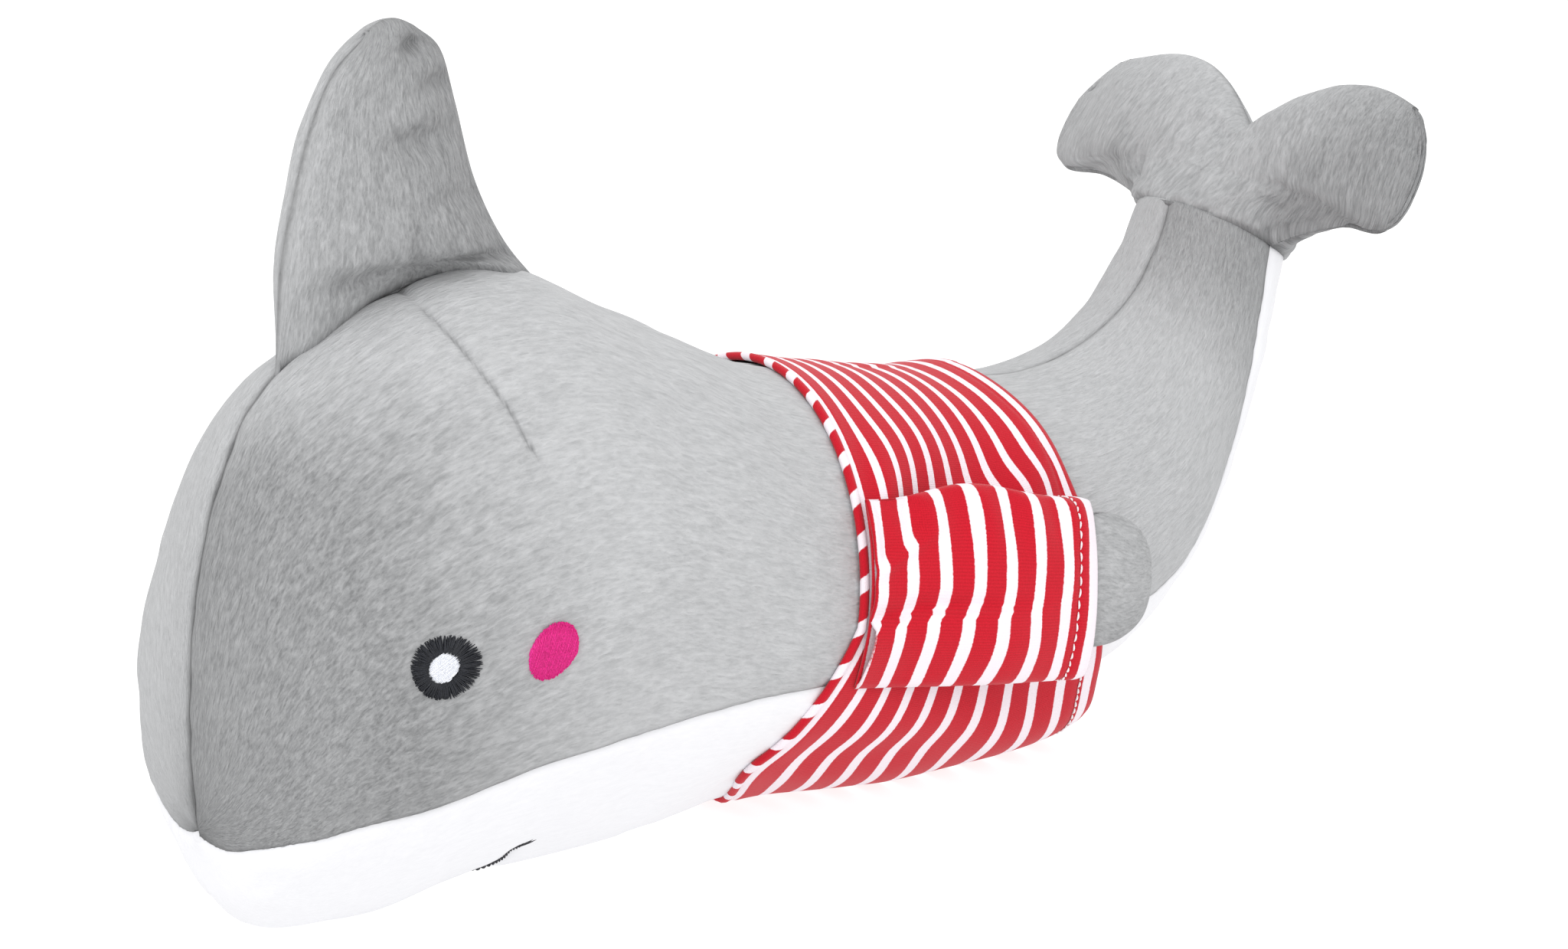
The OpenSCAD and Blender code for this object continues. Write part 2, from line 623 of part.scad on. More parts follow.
module cheek_right() {
    right_side() cheek();
}
// Smile line from cheek to cheek under the chin.
module mouth_line() {
    left = [for (k = steps(0, len(MOUTH) - 1, 20)) along(MOUTH, k)];
    right = [for (i = [len(left) - 2:-1:0]) [left[i].x, -180 - left[i].y]];
    width = 1.8;
    side = function(q, u, g) beside(q, u, 0, g);
    grid = function(g) [for (q = concat(left, right))
        [for (u = [-width / 2, 0, width / 2]) side(q, u, g)]];
    color("dimgray") grid_shell(grid(thread_h * 0.8), grid(0.05));
}

side_panel_left();
side_panel_right();
belly_panel();
torso_stuffing();
eye_ring_left();
eye_ring_right();
eye_centre_left();
eye_centre_right();
cheek_left();
cheek_right();
mouth_line();
shirt_body();
collar_band();
shirt_hem_stitch();
tail_side_left();
tail_side_right();
tail_belly();
tail_stuffing();
fluke_upper_panel();
fluke_lower_panel();
fluke_stuffing();
dorsal_panel_left();
dorsal_panel_right();
dorsal_stuffing();
fin_outer_left();
fin_outer_right();
fin_inner_left();
fin_inner_right();
fin_stuffing_left();
fin_stuffing_right();
sleeve_left();
sleeve_right();
sleeve_stitch_left();
sleeve_stitch_right();
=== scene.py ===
import sys
import json
import logging
import math
import random
from dataclasses import dataclass
from enum import Enum
from typing import Callable, Iterable, Sequence

import bmesh
import bpy
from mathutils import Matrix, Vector, noise


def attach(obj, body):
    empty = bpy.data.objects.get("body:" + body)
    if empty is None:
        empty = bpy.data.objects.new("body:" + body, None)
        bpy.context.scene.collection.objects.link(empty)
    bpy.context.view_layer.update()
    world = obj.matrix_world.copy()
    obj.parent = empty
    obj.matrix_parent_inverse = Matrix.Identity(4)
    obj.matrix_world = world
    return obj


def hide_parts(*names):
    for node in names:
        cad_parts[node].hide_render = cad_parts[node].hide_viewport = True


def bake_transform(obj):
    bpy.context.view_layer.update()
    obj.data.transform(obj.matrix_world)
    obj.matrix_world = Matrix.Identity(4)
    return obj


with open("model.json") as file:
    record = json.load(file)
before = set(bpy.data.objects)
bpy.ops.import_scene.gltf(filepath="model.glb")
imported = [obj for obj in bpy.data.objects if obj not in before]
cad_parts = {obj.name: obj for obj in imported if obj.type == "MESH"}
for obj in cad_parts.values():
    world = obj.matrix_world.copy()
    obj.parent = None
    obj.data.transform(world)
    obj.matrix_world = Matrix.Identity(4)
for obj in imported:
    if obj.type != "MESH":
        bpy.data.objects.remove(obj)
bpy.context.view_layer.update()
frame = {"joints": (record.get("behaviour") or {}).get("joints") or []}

LOG = logging.getLogger("plush_shark")
MM = 0.001
GROUND = 0.0
Place = Callable[[float, float], Vector]


class Side(Enum):
    """The shark's own left, towards +X, and right."""

    LEFT = 1
    RIGHT = -1

    @property
    def word(self) -> str:
        """The side's name as the frame's nodes spell it."""
        return self.name.lower()

    def turn(self, point: Vector) -> Vector:
        """A point of the left side, carried to this side."""
        return Vector((point.x * self.value, point.y, point.z))


# ---- Plain arithmetic ---------------------------------------------------------------


def mix(a: float, b: float, share: float) -> float:
    """The value a share of the way from a to b."""
    return a + (b - a) * share


def ease(x: float) -> float:
    """A smooth step from 0 to 1."""
    c = min(1.0, max(0.0, x))
    return c * c * (3 - 2 * c)


def bump(x: float, width: float) -> float:
    """A smooth hill of height 1 at x = 0 that has faded at about twice its width."""
    return math.exp(-((x / width) ** 2))


def along(rows: Sequence[Sequence[float]], t: float) -> list[float]:
    """Reads a smooth curve through a list of rows.

    Args:
        rows: the rows that the curve passes through.
        t: the place along them, 0 at the first row.

    Returns:
        The curve's values at that place.
    """
    last = len(rows) - 1
    i = min(last - 1, max(0, math.floor(t)))
    f = t - i
    b, c = rows[i], rows[i + 1]
    a = rows[i - 1] if i > 0 else [2 * p - q for p, q in zip(b, c)]
    d = rows[i + 2] if i < last - 1 else [2 * q - p for p, q in zip(b, c)]
    return [
        0.5 * (2 * q + (r - p) * f + (2 * p - 5 * q + 4 * r - s) * f * f + (3 * q - p - 3 * r + s) * f ** 3)
        for p, q, r, s in zip(a, b, c, d)
    ]


def softness(point: Vector, scale: float, seed: float = 0.0) -> float:
    """Smooth noise between about -1 and 1, with hills of roughly the given size in metres."""
    return noise.noise(point / scale + Vector((seed, 1.7 * seed, -seed)))


# ---- The body's surface -------------------------------------------------------------


@dataclass(frozen=True)
class BodyShape:
    """The outside of the stuffed body, from the nose to the tail seam."""

    head_length: float = 0.191
    head_height: float = 0.186
    head_width: float = 0.128
    neck_y: float = -0.033
    neck_height: float = 0.145
    neck_width: float = 0.122
    torso_length: float = 0.125
    rump_height: float = 0.117
    rump_width: float = 0.106
    tail_length: float = 0.074
    tail_rise: float = 0.150
    stem_width: float = 0.056
    stem_depth: float = 0.049
    stem_lean: float = math.radians(33)
    belly_sink: float = 0.003
    under_shirt: float = 0.0022
    last: float = 16.0

    @property
    def nose_y(self) -> float:
        """The nose's place along the body."""
        return self.neck_y - self.head_length

    def stations(self) -> list[list[float]]:
        """Lists the sections that the surface passes through.

        Returns:
            One row per station: the back's y and z, the belly's y and z, the half width, the
            narrowing of the crown and the angle of the belly seam in degrees.
        """
        head = [
            (0.005, 0.195, 0.005, 0.195, 0, 0.4, -30), (0, 0.335, 0.03, 0.10, 0.31, 0.4, -13),
            (0.01, 0.495, 0.06, 0.05, 0.56, 0.4, -14), (0.037, 0.65, 0.11, 0.017, 0.725, 0.38, -18.5),
            (0.085, 0.78, 0.195, 0, 0.83, 0.35, -22), (0.165, 0.888, 0.32, None, 0.905, 0.3, -25),
            (0.356, 0.985, 0.50, None, 0.97, 0.25, -25), (0.57, 1, 0.686, None, 1, 0.2, -24),
            (0.78, 0.9, 0.87, None, 0.985, 0.12, -19),
        ]
        rows = [
            [self.nose_y + by * self.head_length, bz * self.head_height,
             self.nose_y + uy * self.head_length,
             -self.belly_sink if uz is None else uz * self.head_height,
             w * self.head_width / 2, egg, seam]
            for by, bz, uy, uz, w, egg, seam in head
        ]
        rump_y = self.neck_y + self.torso_length
        for y, z, uy, uz, w, egg, seam in (
            (0, 0, 0, -self.belly_sink, 0, 0.06, -15), (0.32, 0.46, 0.30, -self.belly_sink, 0.25, 0, -15),
            (0.66, 0.79, 0.64, -0.001, 0.55, 0, -18), (1, 1, 0.97, 0.009, 1, 0, -22),
        ):
            rows.append([
                self.neck_y + y * self.torso_length, mix(self.neck_height, self.rump_height, z),
                self.neck_y + 0.010 + uy * self.torso_length, uz,
                mix(self.neck_width, self.rump_width, w) / 2, egg, seam,
            ])
        rows[-1][2] = rump_y + 0.007
        stem_y = rump_y + self.tail_length
        back = (stem_y, self.tail_rise + self.stem_depth / 2 * math.sin(self.stem_lean))
        belly = (stem_y + self.stem_depth * math.cos(self.stem_lean),
                 self.tail_rise - self.stem_depth / 2 * math.sin(self.stem_lean))
        for by, bz, uy, uz, w, seam in (
            (0.43, 0.065, 0.40, 0.15, 0.27, -28), (0.72, 0.31, 0.69, 0.405, 0.57, -14),
            (0.90, 0.66, 0.87, 0.71, 0.81, -4), (1, 1, 1, 1, 1, -2),
        ):
            rows.append([
                mix(rump_y, back[0], by), mix(self.rump_height, back[1], bz),
                mix(rump_y + 0.007, belly[0], uy), mix(0.009, belly[1], uz),
                mix(self.rump_width, self.stem_width, w) / 2, 0, seam,
            ])
        return rows

    def rounding(self, t: float) -> float:
        """The narrowing of the underside: rounder below the head, flatter below the torso."""
        return mix(0.3, -0.2, ease((t - 8) / 2)) * ease(t / 2) * (1 - ease((t - 11) / 3))

    def arch(self, t: float, down: float) -> float:
        """How far the underside arches off the ground behind the chin."""
        rise = 4.2 * bump(t - 5.8, 0.75) + bump(t - 6.9, 0.6) + 4.6 * bump(t - 8.6, 0.95)
        return rise * MM * ease((down - 0.45) / 0.45)

    def floor(self, t: float) -> float:
        """The height that the soft body is pressed flat at, which is higher under the shirt."""
        return self.under_shirt * ease((t - 7.1) / 0.6)


BODY = BodyShape()
STATIONS = BODY.stations()


def body_point(t: float, a: float) -> Vector:
    """Finds a point of the body's outside.

    Args:
        t: the place along the body, in stations.
        a: the angle round it in degrees, 0 on the left and 90 on the back.

    Returns:
        The point, in metres.
    """
    by, bz, uy, uz, width, egg, _ = along(STATIONS, t)
    c, s = math.cos(math.radians(a)), math.sin(math.radians(a))
    narrow = egg * s * s if s > 0 else BODY.rounding(t) * s * s
    z = (bz + uz) / 2 + (bz - uz) / 2 * s
    return Vector((width * c * (1 - narrow), (by + uy) / 2 + (by - uy) / 2 * s,
                   max(BODY.floor(t), z) + BODY.arch(t, -s)))


def outward(place: Place, u: float, v: float, du: float, dv: float) -> Vector:
    """The unit normal of a surface given by a function of two numbers."""
    lengthwise = place(u + du, v) - place(u - du, v)
    across = place(u, v + dv) - place(u, v - dv)
    normal = lengthwise.cross(across)
    return normal.normalized() if normal.length > 1e-12 else Vector((0, 0, 1))


def body_offset(t: float, a: float, lift: float) -> Vector:
    """A point that stands off the body's outside by a distance in metres."""
    return body_point(t, a) + lift * outward(body_point, t, a, 0.01, 0.5)


def seam_angle(t: float) -> float:
    """The belly seam's angle at a place along the body."""
    return along(STATIONS, t)[6]


def beside(t: float, a: float, tailward: float, upward: float, lift: float) -> Vector:
    """Finds a point near another on the body's surface.

    Args:
        t: the first point's place along the body.
        a: its angle.
        tailward: the distance from it towards the tail, in metres.
        upward: the distance from it up the flank, in metres.
        lift: how far the new point stands off the surface.

    Returns:
        The new point.
    """
    per_t = (body_point(t + 0.1, a) - body_point(t - 0.1, a)).length / 0.2
    per_a = (body_point(t, a + 2) - body_point(t, a - 2)).length / 4
    return body_offset(t + tailward / per_t, a + upward / per_a, lift)


# ---- Meshes -------------------------------------------------------------------------


def finish_mesh(bm: bmesh.types.BMesh, name: str, material: bpy.types.Material) -> bpy.types.Object:
    """Turns a bmesh into a smooth-shaded object with its material.

    Args:
        bm: the mesh, which is freed.
        name: the piece's name.
        material: its material.

    Returns:
        The new object, linked to the scene.
    """
    mesh = bpy.data.meshes.new(name)
    bm.to_mesh(mesh)
    bm.free()
    mesh.shade_smooth()
    mesh.materials.append(material)
    piece = bpy.data.objects.new(name, mesh)
    bpy.context.scene.collection.objects.link(piece)
    return piece


def shaped_grid(rows: int, columns: int, place: Place, side: Side = Side.LEFT,
                pattern: Callable[[float, float], tuple[float, float]] | None = None,
                shade: Callable[[float, float], float] | None = None,
                nap: Callable[[float, float], float] | None = None) -> bmesh.types.BMesh:
    """Lays a flat grid of cloth over a surface.

    Args:
        rows: cells along the surface's first direction.
        columns: cells along its second direction.
        place: gives the point for a share of each direction.
        side: the side that it is made for; the right one is mirrored.
        pattern: gives the place on the printed cloth, in metres, for its UV map.
        shade: gives how deep in a seam each point lies, from 0 to 1.
        nap: gives the painted shade of the pile, set by which way it is stroked and standing in for its
            sheen, 0 for dark and 1 for light.

    Returns:
        The shaped mesh.
    """
    bm = bmesh.new()
    bmesh.ops.create_grid(bm, x_segments=rows, y_segments=columns, size=1)
    uv = bm.loops.layers.uv.new("cloth")
    # Both layers darken the pile's colour in its material: painted shade in the seams, and painted shade for
    # the pile's sheen seen against its nap.
    depth = bm.verts.layers.float.new("seam")
    nap_shade_layer = bm.verts.layers.float.new("nap")
    for vert in bm.verts:
        u, v = (vert.co.x + 1) / 2, (vert.co.y + 1) / 2
        print_place = pattern(u, v) if pattern else (u, v)
        for loop in vert.link_loops:
            loop[uv].uv = print_place
        vert[depth] = shade(u, v) if shade else 0.0
        vert[nap_shade_layer] = nap(u, v) if nap else 0.5
        vert.co = side.turn(place(u, v))
    bmesh.ops.remove_doubles(bm, verts=bm.verts, dist=0.02 * MM)
    if side is Side.RIGHT:
        bmesh.ops.reverse_faces(bm, faces=bm.faces)
    return bm


def closer(share: float, amount: float = 0.6) -> float:
    """Draws shares of a panel towards both of its edges, where the seams need finer cells."""
    return mix(share, (1 - math.cos(math.pi * share)) / 2, amount)


def thicken(piece: bpy.types.Object, thickness: float) -> bpy.types.Object:
    """Gives a cloth piece its thickness, inwards.

    Args:
        piece: the piece.
        thickness: the cloth's thickness in metres.

    Returns:
        The same piece, with its wall in its mesh.
    """
    wall = piece.modifiers.new("thickness", "SOLIDIFY")
    wall.thickness = thickness
    wall.offset = -1
    bpy.context.view_layer.update()
    evaluated = piece.evaluated_get(bpy.context.evaluated_depsgraph_get())
    mesh = bpy.data.meshes.new_from_object(evaluated)
    old = piece.data
    piece.modifiers.clear()
    piece.data = mesh
    bpy.data.meshes.remove(old)
    mesh.name = piece.name
    return piece


@dataclass(frozen=True)
class Stuffing:
    """How hard a panel is stuffed and how its fabric gives."""

    steps: int = 20
    quality: int = 5
    mass: float = 0.15
    stiffness: float = 0.3
    push: float = 4.0
    slack: float = -0.03
    sewn_edge: float = 0.004

    def at_edge(self, u: float, v: float) -> bool:
        """Whether a share of each direction lies on one of a panel's four edges."""
        return min(u, v, 1 - u, 1 - v) < self.sewn_edge


STUFFING = Stuffing()


def stuffed(name: str, place: Place, rows: int, columns: int, held: Callable[[float, float], float],
            limit: float) -> Callable[[float, float], float]:
    """Pushes a loosely cut panel out with stuffing and measures how it bulges and puckers.

    Args:
        name: the panel's name.
        place: gives the panel's cut shape for a share of each direction.
        rows: cells along its first direction.
        columns: cells along its second direction.
        held: gives how firmly each point is sewn down, from 0 to 1.
        limit: what the largest movement is scaled down to, in metres.

    Returns:
        A function that gives the movement outwards for a share of each direction.
    """
    bm = bmesh.new()
    bmesh.ops.create_grid(bm, x_segments=rows, y_segments=columns, size=1)
    order: dict[tuple[int, int], int] = {}
    sewn = []
    bm.verts.index_update()
    for vert in bm.verts:
        u, v = (vert.co.x + 1) / 2, (vert.co.y + 1) / 2
        order[round(u * rows), round(v * columns)] = vert.index
        sewn.append((vert.index, held(u, v)))
        vert.co = place(u, v)
    bm.normal_update()
    mesh = bpy.data.meshes.new(name + "_cut")
    bm.to_mesh(mesh)
    start = [vert.co.copy() for vert in bm.verts]
    normals = [vert.normal.copy() for vert in bm.verts]
    bm.free()
    cut = bpy.data.objects.new(name + "_cut", mesh)
    scene = bpy.context.scene
    scene.collection.objects.link(cut)
    group = cut.vertex_groups.new(name="sewn")
    for index, weight in sewn:
        group.add([index], weight, "REPLACE")
    cloth = cut.modifiers.new("stuffing", "CLOTH")
    settings = cloth.settings
    settings.quality = STUFFING.quality
    settings.mass = STUFFING.mass
    settings.bending_stiffness = STUFFING.stiffness
    settings.use_pressure = True
    settings.uniform_pressure_force = STUFFING.push
    settings.shrink_min = STUFFING.slack
    settings.vertex_group_mass = "sewn"
    settings.pin_stiffness = 1.0
    settings.effector_weights.gravity = 0
    cloth.collision_settings.use_collision = False
    cloth.point_cache.frame_start = 1
    cloth.point_cache.frame_end = STUFFING.steps
    for step in range(1, STUFFING.steps + 1):
        scene.frame_set(step)
    final = cut.evaluated_get(bpy.context.evaluated_depsgraph_get()).data
    moved = [(final.vertices[i].co - start[i]).dot(normals[i]) for i in range(len(start))]
    share = min(1.0, limit / max(0.01 * MM, max(abs(move) for move in moved)))
    moved = [move * share for move in moved]
    scene.frame_set(1)
    bpy.data.objects.remove(cut)
    bpy.data.meshes.remove(mesh)
    LOG.info("%s: stuffed, moved by %.1f to %.1f mm", name, min(moved) / MM, max(moved) / MM)

    def bulge(u: float, v: float) -> float:
        """The movement outwards, read between the simulated points."""
        x, y = min(1.0, max(0.0, u)) * rows, min(1.0, max(0.0, v)) * columns
        i, j = min(rows - 1, int(x)), min(columns - 1, int(y))
        f, g = x - i, y - j
        low = mix(moved[order[i, j]], moved[order[i + 1, j]], f)
        high = mix(moved[order[i, j + 1]], moved[order[i + 1, j + 1]], f)
        return mix(low, high, g)

    return bulge


def edge_hold(u: float, v: float) -> float:
    """Holds a panel along all four of its edges."""
    return 1.0 if STUFFING.at_edge(u, v) else 0.0


def thread_strip(bm: bmesh.types.BMesh, place: Callable[[float, float, float], Vector],
                 start: tuple[float, float], end: tuple[float, float], width: float, lift: float) -> None:
    """Adds one thread, a half-round strip between two points on the cloth.

    Args:
        bm: the mesh that the thread joins.
        place: gives the point for two distances on the cloth and a height above it.
        start: the thread's first end, as two distances.
        end: its other end.
        width: the thread's width in metres.
        lift: the height of the thread's crown above the cloth.
    """
    made = bmesh.ops.create_grid(bm, x_segments=5, y_segments=4, size=1)
    run = Vector((end[0] - start[0], end[1] - start[1]))
    if run.length < 1e-6:
        return
    across = Vector((-run.y, run.x)).normalized() * width / 2
    for vert in made["verts"]:
        share, edge = (vert.co.x + 1) / 2, vert.co.y
        crown = math.sqrt(max(0.0, 1 - edge * edge)) * (0.55 + 0.45 * math.sin(math.pi * share))
        taper = 0.45 + 0.55 * min(1.0, 5 * min(share, 1 - share))
        point = Vector(start) + run * share + across * edge * taper
        vert.co = place(point.x, point.y, lift * crown - 0.15 * MM * edge * edge)


# ---- Materials ----------------------------------------------------------------------


class NodeKit:
    """A short way to add and link shader nodes in one tree."""

    def __init__(self, tree: bpy.types.NodeTree) -> None:
        """Keeps the tree that nodes go into."""
        self.tree = tree

    def add(self, kind: str, **values: object) -> bpy.types.Node:
        """Adds a node.

        Args:
            kind: the node's type name without the ShaderNode prefix.
            values: properties, or input values when the name matches no property.

        Returns:
            The new node.
        """
        node = self.tree.nodes.new(kind if kind.startswith("NodeGroup") else "ShaderNode" + kind)
        for key, value in values.items():
            if hasattr(node, key):
                setattr(node, key, value)
            else:
                node.inputs[key.replace("_", " ")].default_value = value
        return node

    def link(self, source: bpy.types.NodeSocket, target: bpy.types.NodeSocket) -> None:
        """Joins an output to an input."""
        self.tree.links.new(source, target)

    def math(self, operation: str, a: object, b: object = 0.0) -> bpy.types.NodeSocket:
        """Adds a Math node.

        Args:
            operation: the Math node's operation.
            a: a socket or a number.
            b: a socket or a number.

        Returns:
            The node's output.
        """
        node = self.add("Math", operation=operation)
        for place, value in enumerate((a, b)):
            if isinstance(value, bpy.types.NodeSocket):
                self.link(value, node.inputs[place])
            else:
                node.inputs[place].default_value = value
        return node.outputs[0]

    def colours(self, factor: bpy.types.NodeSocket, first: Sequence[float],
                second: Sequence[float]) -> bpy.types.NodeSocket:
        """Mixes two plain colours by a factor and gives the mixed colour."""
        node = self.add("Mix", data_type="RGBA")
        node.inputs[6].default_value = (*first, 1)
        node.inputs[7].default_value = (*second, 1)
        self.link(factor, node.inputs[0])
        return node.outputs[2]


def new_group(name: str, inputs: dict[str, float], outputs: Iterable[str]) -> bpy.types.NodeTree:
    """Makes a shader node group with float inputs and outputs.

    Args:
        name: the group's name.
        inputs: each input's name and its usual value.
        outputs: the outputs' names.

    Returns:
        The group, with its input and output nodes in place.
    """
    group = bpy.data.node_groups.new(name, "ShaderNodeTree")
    for label, value in inputs.items():
        socket = group.interface.new_socket(name=label, in_out="INPUT", socket_type="NodeSocketFloat")
        socket.default_value = value
    for label in outputs:
        group.interface.new_socket(name=label, in_out="OUTPUT", socket_type="NodeSocketFloat")
    group.nodes.new("NodeGroupInput").name = "in"
    group.nodes.new("NodeGroupOutput").name = "out"
    return group


def pile_group() -> bpy.types.NodeTree:
    """Builds the short brushed pile: streaks of fibre, patches stroked either way, and their height.

    Returns:
        A group with outputs Tone, from 0 to 1, and Height.
    """
    group = new_group("brushed_pile", {"Fibre size": 1300, "Patch size": 40, "Stretch": 0.40},
                      ("Tone", "Height"))
    kit = NodeKit(group)
    inside, out = group.nodes["in"], group.nodes["out"]
    where = kit.add("TexCoord")
    cloth = kit.add("UVMap", uv_map="cloth")
    stretch = kit.add("Mapping", vector_type="POINT")
    stretch.inputs["Scale"].default_value = (0.30, 1, 1)
    kit.link(cloth.outputs[0], stretch.inputs[0])
    fibre = kit.add("TexNoise", Detail=3.0, Roughness=0.6, Distortion=0.3)
    kit.link(stretch.outputs[0], fibre.inputs["Vector"])
    kit.link(inside.outputs["Fibre size"], fibre.inputs["Scale"])
    tuft = kit.add("TexNoise", Detail=2.0, Roughness=0.55, Distortion=0.8)
    kit.link(stretch.outputs[0], tuft.inputs["Vector"])
    tuft_size = kit.math("MULTIPLY", inside.outputs["Fibre size"], inside.outputs["Stretch"])
    kit.link(tuft_size, tuft.inputs["Scale"])
    patch = kit.add("TexNoise", Detail=2.0, Roughness=0.5, Distortion=0.4)
    kit.link(where.outputs["Object"], patch.inputs["Vector"])
    kit.link(inside.outputs["Patch size"], patch.inputs["Scale"])
    fine = kit.math("ADD", kit.math("MULTIPLY", fibre.outputs["Fac"], 0.55),
                    kit.math("MULTIPLY", tuft.outputs["Fac"], 0.45))
    tone = kit.math("ADD", kit.math("MULTIPLY", fine, 0.92), kit.math("MULTIPLY", patch.outputs["Fac"], 0.08))
    spread = kit.add("MapRange", From_Min=0.36, From_Max=0.64)
    kit.link(tone, spread.inputs["Value"])
    kit.link(spread.outputs["Result"], out.inputs["Tone"])
    kit.link(fine, out.inputs["Height"])
    return group


def knit_group() -> bpy.types.NodeTree:
    """Builds a fine jersey knit: rows of stitches in the cloth's own UV, in metres.

    Returns:
        A group with outputs Shade and Height.
    """
    group = new_group("jersey_knit", {"Stitches per metre": 1500}, ("Shade", "Height"))
    kit = NodeKit(group)
    inside, out = group.nodes["in"], group.nodes["out"]
    where = kit.add("UVMap", uv_map="cloth")
    parts = kit.add("SeparateXYZ")
    kit.link(where.outputs[0], parts.inputs[0])
    count = inside.outputs["Stitches per metre"]
    turn = 2 * math.pi
    rib = kit.math("SINE", kit.math("MULTIPLY", kit.math("MULTIPLY", parts.outputs[1], count), turn))
    course = kit.math("SINE", kit.math("MULTIPLY", kit.math("MULTIPLY", parts.outputs[0], count), turn * 1.3))
    weave = kit.math("ADD", kit.math("MULTIPLY", rib, 0.6), kit.math("MULTIPLY", course, 0.4))
    loft = kit.add("TexNoise", Scale=2600.0, Detail=2.0)
    kit.link(kit.add("TexCoord").outputs["Object"], loft.inputs["Vector"])
    height = kit.math("ADD", kit.math("MULTIPLY", weave, 0.25), loft.outputs["Fac"])
    kit.link(height, out.inputs["Height"])
    spread = kit.add("MapRange", From_Min=0.2, From_Max=0.9)
    kit.link(height, spread.inputs["Value"])
    kit.link(spread.outputs["Result"], out.inputs["Shade"])
    return group


def start_material(name: str) -> tuple[bpy.types.Material, NodeKit, bpy.types.Node]:
    """Makes a material with its nodes on, and gives its kit and its Principled shader."""
    material = bpy.data.materials.new(name)
    material.use_nodes = True
    kit = NodeKit(material.node_tree)
    return material, kit, material.node_tree.nodes["Principled BSDF"]


@dataclass(frozen=True)
class PileFinish:
    """Short plush pile with painted shade: darker where it is stroked towards the viewer's side, standing in
    for its sheen, and darker in the seams.
    """

    name: str
    dark: tuple[float, float, float]
    light: tuple[float, float, float]
    against: float
    # How much the seams are darkened: painted shade in their grooves.
    crease: float
    sheen: float
    fibre_size: float = 1300
    relief: float = 0.0010

    def build(self, pile: bpy.types.NodeTree) -> bpy.types.Material:
        """Builds the material around the shared pile group."""
        material, kit, shader = start_material(self.name)
        field = kit.add("Group", node_tree=pile)
        field.inputs["Fibre size"].default_value = self.fibre_size
        nap = kit.add("Attribute", attribute_name="nap")
        seam = kit.add("Attribute", attribute_name="seam")
        # Painted shade: the nap value scales the colour down towards the darkest nap shade, standing in for
        # the pile's sheen seen against its nap.
        nap_shade_factor = kit.add("MapRange", To_Min=self.against, To_Max=1.0)
        kit.link(nap.outputs["Fac"], nap_shade_factor.inputs["Value"])
        contrast = kit.add("MapRange", To_Min=1.0, To_Max=0.45)
        kit.link(nap.outputs["Fac"], contrast.inputs["Value"])
        tone = kit.math("ADD", kit.math("MULTIPLY", kit.math("SUBTRACT", field.outputs["Tone"], 0.5),
                                        contrast.outputs["Result"]), 0.5)
        colour = kit.colours(tone, self.dark, self.light)
        # Painted shade: the colour is darkened by the nap shade, and in the seams' grooves by the seam value
        # times the crease strength.
        painted_shade = kit.math("MULTIPLY", nap_shade_factor.outputs["Result"],
                        kit.math("SUBTRACT", 1.0, kit.math("MULTIPLY", seam.outputs["Fac"], self.crease)))
        whole = kit.add("VectorMath", operation="SCALE")
        kit.link(colour, whole.inputs[0])
        kit.link(painted_shade, whole.inputs["Scale"])
        kit.link(whole.outputs[0], shader.inputs["Base Color"])
        relief = kit.add("Bump", Strength=0.9, Distance=self.relief)
        kit.link(field.outputs["Height"], relief.inputs["Height"])
        kit.link(relief.outputs[0], shader.inputs["Normal"])
        shader.inputs["Roughness"].default_value = 0.92
        shader.inputs["Specular IOR Level"].default_value = 0.12
        shader.inputs["Sheen Weight"].default_value = self.sheen
        shader.inputs["Sheen Roughness"].default_value = 0.5
        return material


@dataclass(frozen=True)
class JerseyFinish:
    """Striped jersey, with its stripes across the cloth's own length."""

    name: str
    red: tuple[float, float, float]
    deep_red: tuple[float, float, float]
    white: tuple[float, float, float]
    pitch: float
    white_band: float

    def build(self, knit: bpy.types.NodeTree) -> bpy.types.Material:
        """Builds the material around the shared knit group."""
        material, kit, shader = start_material(self.name)
        where = kit.add("UVMap", uv_map="cloth")
        parts = kit.add("SeparateXYZ")
        kit.link(where.outputs[0], parts.inputs[0])
        stitch = kit.add("Group", node_tree=knit)
        ragged = kit.add("TexNoise", Scale=1400.0, Detail=1.0)
        kit.link(kit.add("TexCoord").outputs["Object"], ragged.inputs["Vector"])
        wander = kit.math("MULTIPLY", kit.math("SUBTRACT", ragged.outputs["Fac"], 0.5), 0.0004)
        place = kit.math("ADD", parts.outputs[0], wander)
        phase = kit.math("FLOORED_MODULO", kit.math("DIVIDE", place, self.pitch), 1.0)
        band = kit.math("PINGPONG", kit.math("SUBTRACT", phase, self.white_band / self.pitch / 2), 0.5)
        edge = kit.add("MapRange", From_Min=self.white_band / self.pitch / 2 - 0.012,
                       From_Max=self.white_band / self.pitch / 2 + 0.012)
        kit.link(band, edge.inputs["Value"])
        reds = kit.colours(stitch.outputs["Shade"], self.deep_red, self.red)
        both = kit.add("Mix", data_type="RGBA")
        kit.link(edge.outputs["Result"], both.inputs[0])
        both.inputs[6].default_value = (*self.white, 1)
        kit.link(reds, both.inputs[7])
        kit.link(both.outputs[2], shader.inputs["Base Color"])
        relief = kit.add("Bump", Strength=0.5, Distance=0.00025)
        kit.link(stitch.outputs["Height"], relief.inputs["Height"])
        kit.link(relief.outputs[0], shader.inputs["Normal"])
        shader.inputs["Roughness"].default_value = 0.85
        shader.inputs["Specular IOR Level"].default_value = 0.2
        shader.inputs["Sheen Weight"].default_value = 0.15
        return material


